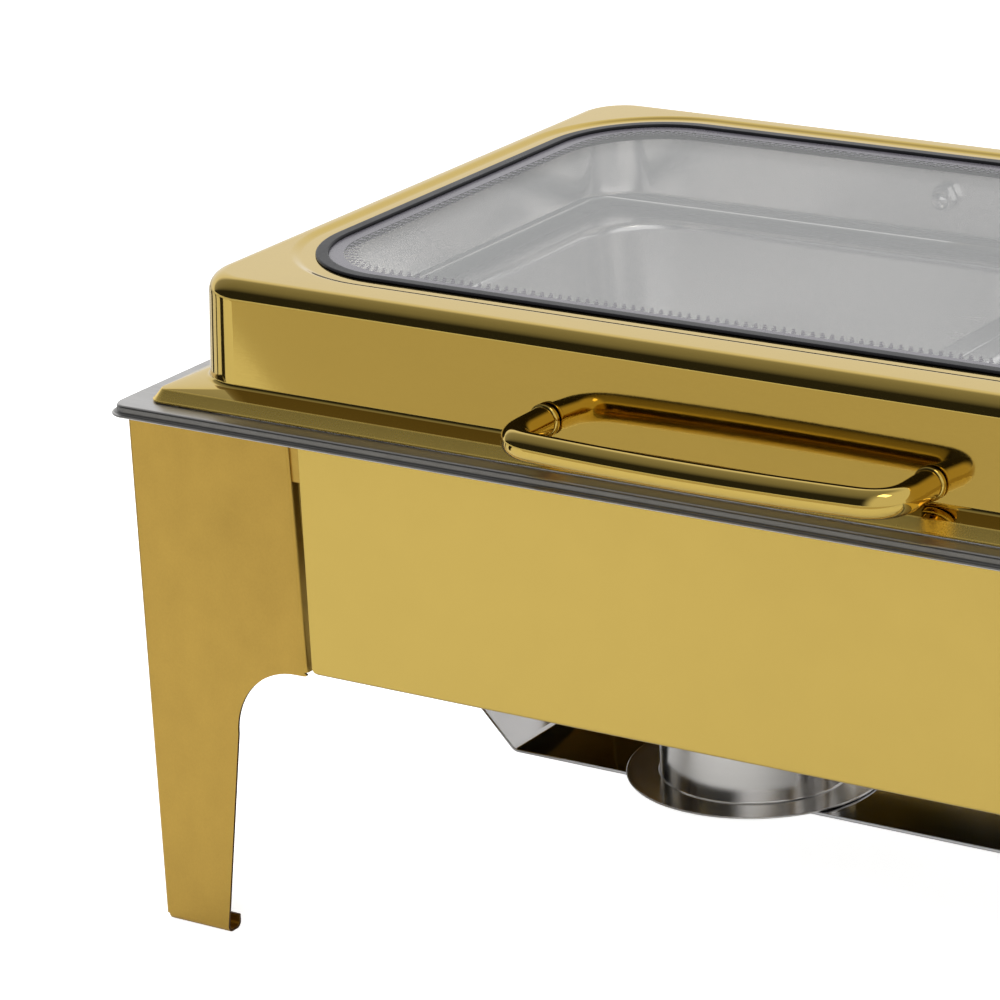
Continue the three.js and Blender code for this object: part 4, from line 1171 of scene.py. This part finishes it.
class ChaferStage(bpy.types.Operator):
    """Pale floor, soft lights and the camera"""

    bl_idname = "chafer.stage"
    bl_label = "Stage"

    def execute(self, context):
        scene = context.scene
        size = 6.0
        corners = [(x * size, y * size, 0) for x, y in ((-1, -1), (1, -1), (1, 1), (-1, 1))]
        flat("floor", corners, bpy.data.materials["floor"])
        self.surroundings(scene)
        card("far_floor", FAR_FLOOR, 0.001, 1.15, (0.60, 0.56, 0.46))
        self.dark_strips()
        card("high_window", HIGH_WINDOW, 1.6, 4.0, (1, 0.97, 0.88))
        area_light("soft_top", (-0.4, -0.3, 2.2), (0, 0, 0.1), 2.2, 26)
        area_light("soft_front", (-1.2, -2.2, 1.4), (0, 0, 0.15), 1.4, 12)
        self.camera(scene)
        scene.view_settings.view_transform = "Standard"
        return {"FINISHED"}

    def dark_strips(self):
        """Dark upright edges of the room on the left, as they show in the lid's rounded corner."""
        near, far = 0.35, 2.5
        corner = np.array([-0.25, -0.15])
        for index, sides in enumerate(DARK_STRIPS):
            start, stop = np.radians(sides)
            spots = [
                corner + r * np.array([math.cos(a), math.sin(a)])
                for r, a in ((near, start), (far, start), (far, stop), (near, stop))
            ]
            card(f"dark_strip_{index}", spots, 0.002, 0.03, (1, 0.9, 0.8))

    def surroundings(self, scene):
        """Even white to the eye and to matt surfaces. In reflections the room is white low down
        behind, dimmer overhead and dark in front: a ramp over the angle from the back, over the
        top, to the front. Its right side is bright all over."""
        world = bpy.data.worlds.new("studio")
        scene.world = world
        world.use_nodes = True
        tree = world.node_tree
        plain = feed(tree, tree.nodes["Background"], {"Color": (1, 1, 1, 1), "Strength": 1.0})
        generated = add_node(tree, "TexCoord").outputs["Generated"]
        direction = add_node(tree, "SeparateXYZ", {0: generated}).outputs
        sweep = add_node(tree, "Math", {0: direction["Z"], 1: direction["Y"]}, operation="ARCTAN2")
        turn = add_node(tree, "Math", {0: sweep.outputs[0], 1: math.pi}, operation="DIVIDE")
        ramp = add_node(tree, "ValToRGB", {0: turn.outputs[0]})
        elements = ramp.color_ramp.elements
        while len(elements) < len(ROOM_RAMP):
            elements.new(0.5)
        for element, (where, value) in zip(elements, ROOM_RAMP):
            element.position = where
            element.color = (value, value, value, 1)
        bright_side = add_node(
            tree, "MapRange", {"Value": direction["X"], "From Min": -0.05, "From Max": 0.35},
            interpolation_type="SMOOTHSTEP",
        )
        room_colour = mixed_colour(
            tree, bright_side.outputs["Result"], ramp.outputs["Color"], (0.9, 0.9, 0.9, 1)
        )
        room = add_node(tree, "Background", {"Color": room_colour})
        glossy = add_node(tree, "LightPath").outputs["Is Glossy Ray"]
        choose = add_node(
            tree, "MixShader", {0: glossy, 1: plain.outputs[0], 2: room.outputs[0]}
        )
        feed(tree, tree.nodes["World Output"], {"Surface": choose.outputs[0]})

    def camera(self, scene):
        """A long lens above the front right, turned a little about its own axis."""
        azimuth, elevation, roll = (math.radians(a) for a in (33.48, 20.51, -2.42))
        distance, target = 2.05829, Vector((-0.17421, 0.0, 0.10764))
        back = Vector((
            math.sin(azimuth) * math.cos(elevation), -math.cos(azimuth) * math.cos(elevation),
            math.sin(elevation),
        ))
        right = Vector((math.cos(azimuth), math.sin(azimuth), 0))
        up = back.cross(right)
        turned_right = math.cos(roll) * right + math.sin(roll) * up
        turned_up = math.cos(roll) * up - math.sin(roll) * right
        camera = bpy.data.cameras.new("camera")
        camera.sensor_width = 36
        camera.lens = 165.26
        camera.shift_x, camera.shift_y = -0.1, 0.1
        camera.clip_start, camera.clip_end = 0.05, 50
        obj = bpy.data.objects.new("camera", camera)
        scene.collection.objects.link(obj)
        pose = Matrix((turned_right, turned_up, back)).transposed().to_4x4()
        pose.translation = target + back * distance
        obj.matrix_world = pose
        scene.camera = obj


class ChaferFinishes(bpy.types.Operator):
    """All the metal, rubber, glass and print finishes"""

    bl_idname = "chafer.finishes"
    bl_label = "Finishes"

    def execute(self, context):
        make_finishes(context.scene.chafer_colours)
        return {"FINISHED"}


class ChaferPanel(bpy.types.Panel):
    """Lists the chafer's sizes, colours and pieces"""

    bl_idname = "VIEW3D_PT_chafer"
    bl_label = "Roll top chafer"
    bl_space_type = "VIEW_3D"
    bl_region_type = "UI"
    bl_category = "Chafer"

    def draw(self, context):
        column = self.layout.column()
        for group in (context.scene.chafer_sizes, context.scene.chafer_colours):
            for name in group.bl_rna.properties.keys():
                if name not in ("rna_type", "name"):
                    column.prop(group, name)
        for operator in OPERATORS:
            column.operator(operator.bl_idname)


OPERATORS = (
    ChaferFinishes, ChaferStage, ChaferLid, ChaferWindow, ChaferHandle, ChaferPans, ChaferLegs,
    ChaferSkirts, ChaferShelf, ChaferHinges,
)
CLASSES = (ChaferSizes, ChaferColours, *OPERATORS, ChaferPanel)


def register():
    for cls in CLASSES:
        bpy.utils.register_class(cls)
    bpy.types.Scene.chafer_sizes = PointerProperty(type=ChaferSizes)
    bpy.types.Scene.chafer_colours = PointerProperty(type=ChaferColours)


def unregister():
    del bpy.types.Scene.chafer_colours
    del bpy.types.Scene.chafer_sizes
    for cls in reversed(CLASSES):
        bpy.utils.unregister_class(cls)


def main():
    register()
    for operator in OPERATORS:
        group, name = operator.bl_idname.split(".")
        getattr(getattr(bpy.ops, group), name)()


if __name__ == "__main__":
    main()
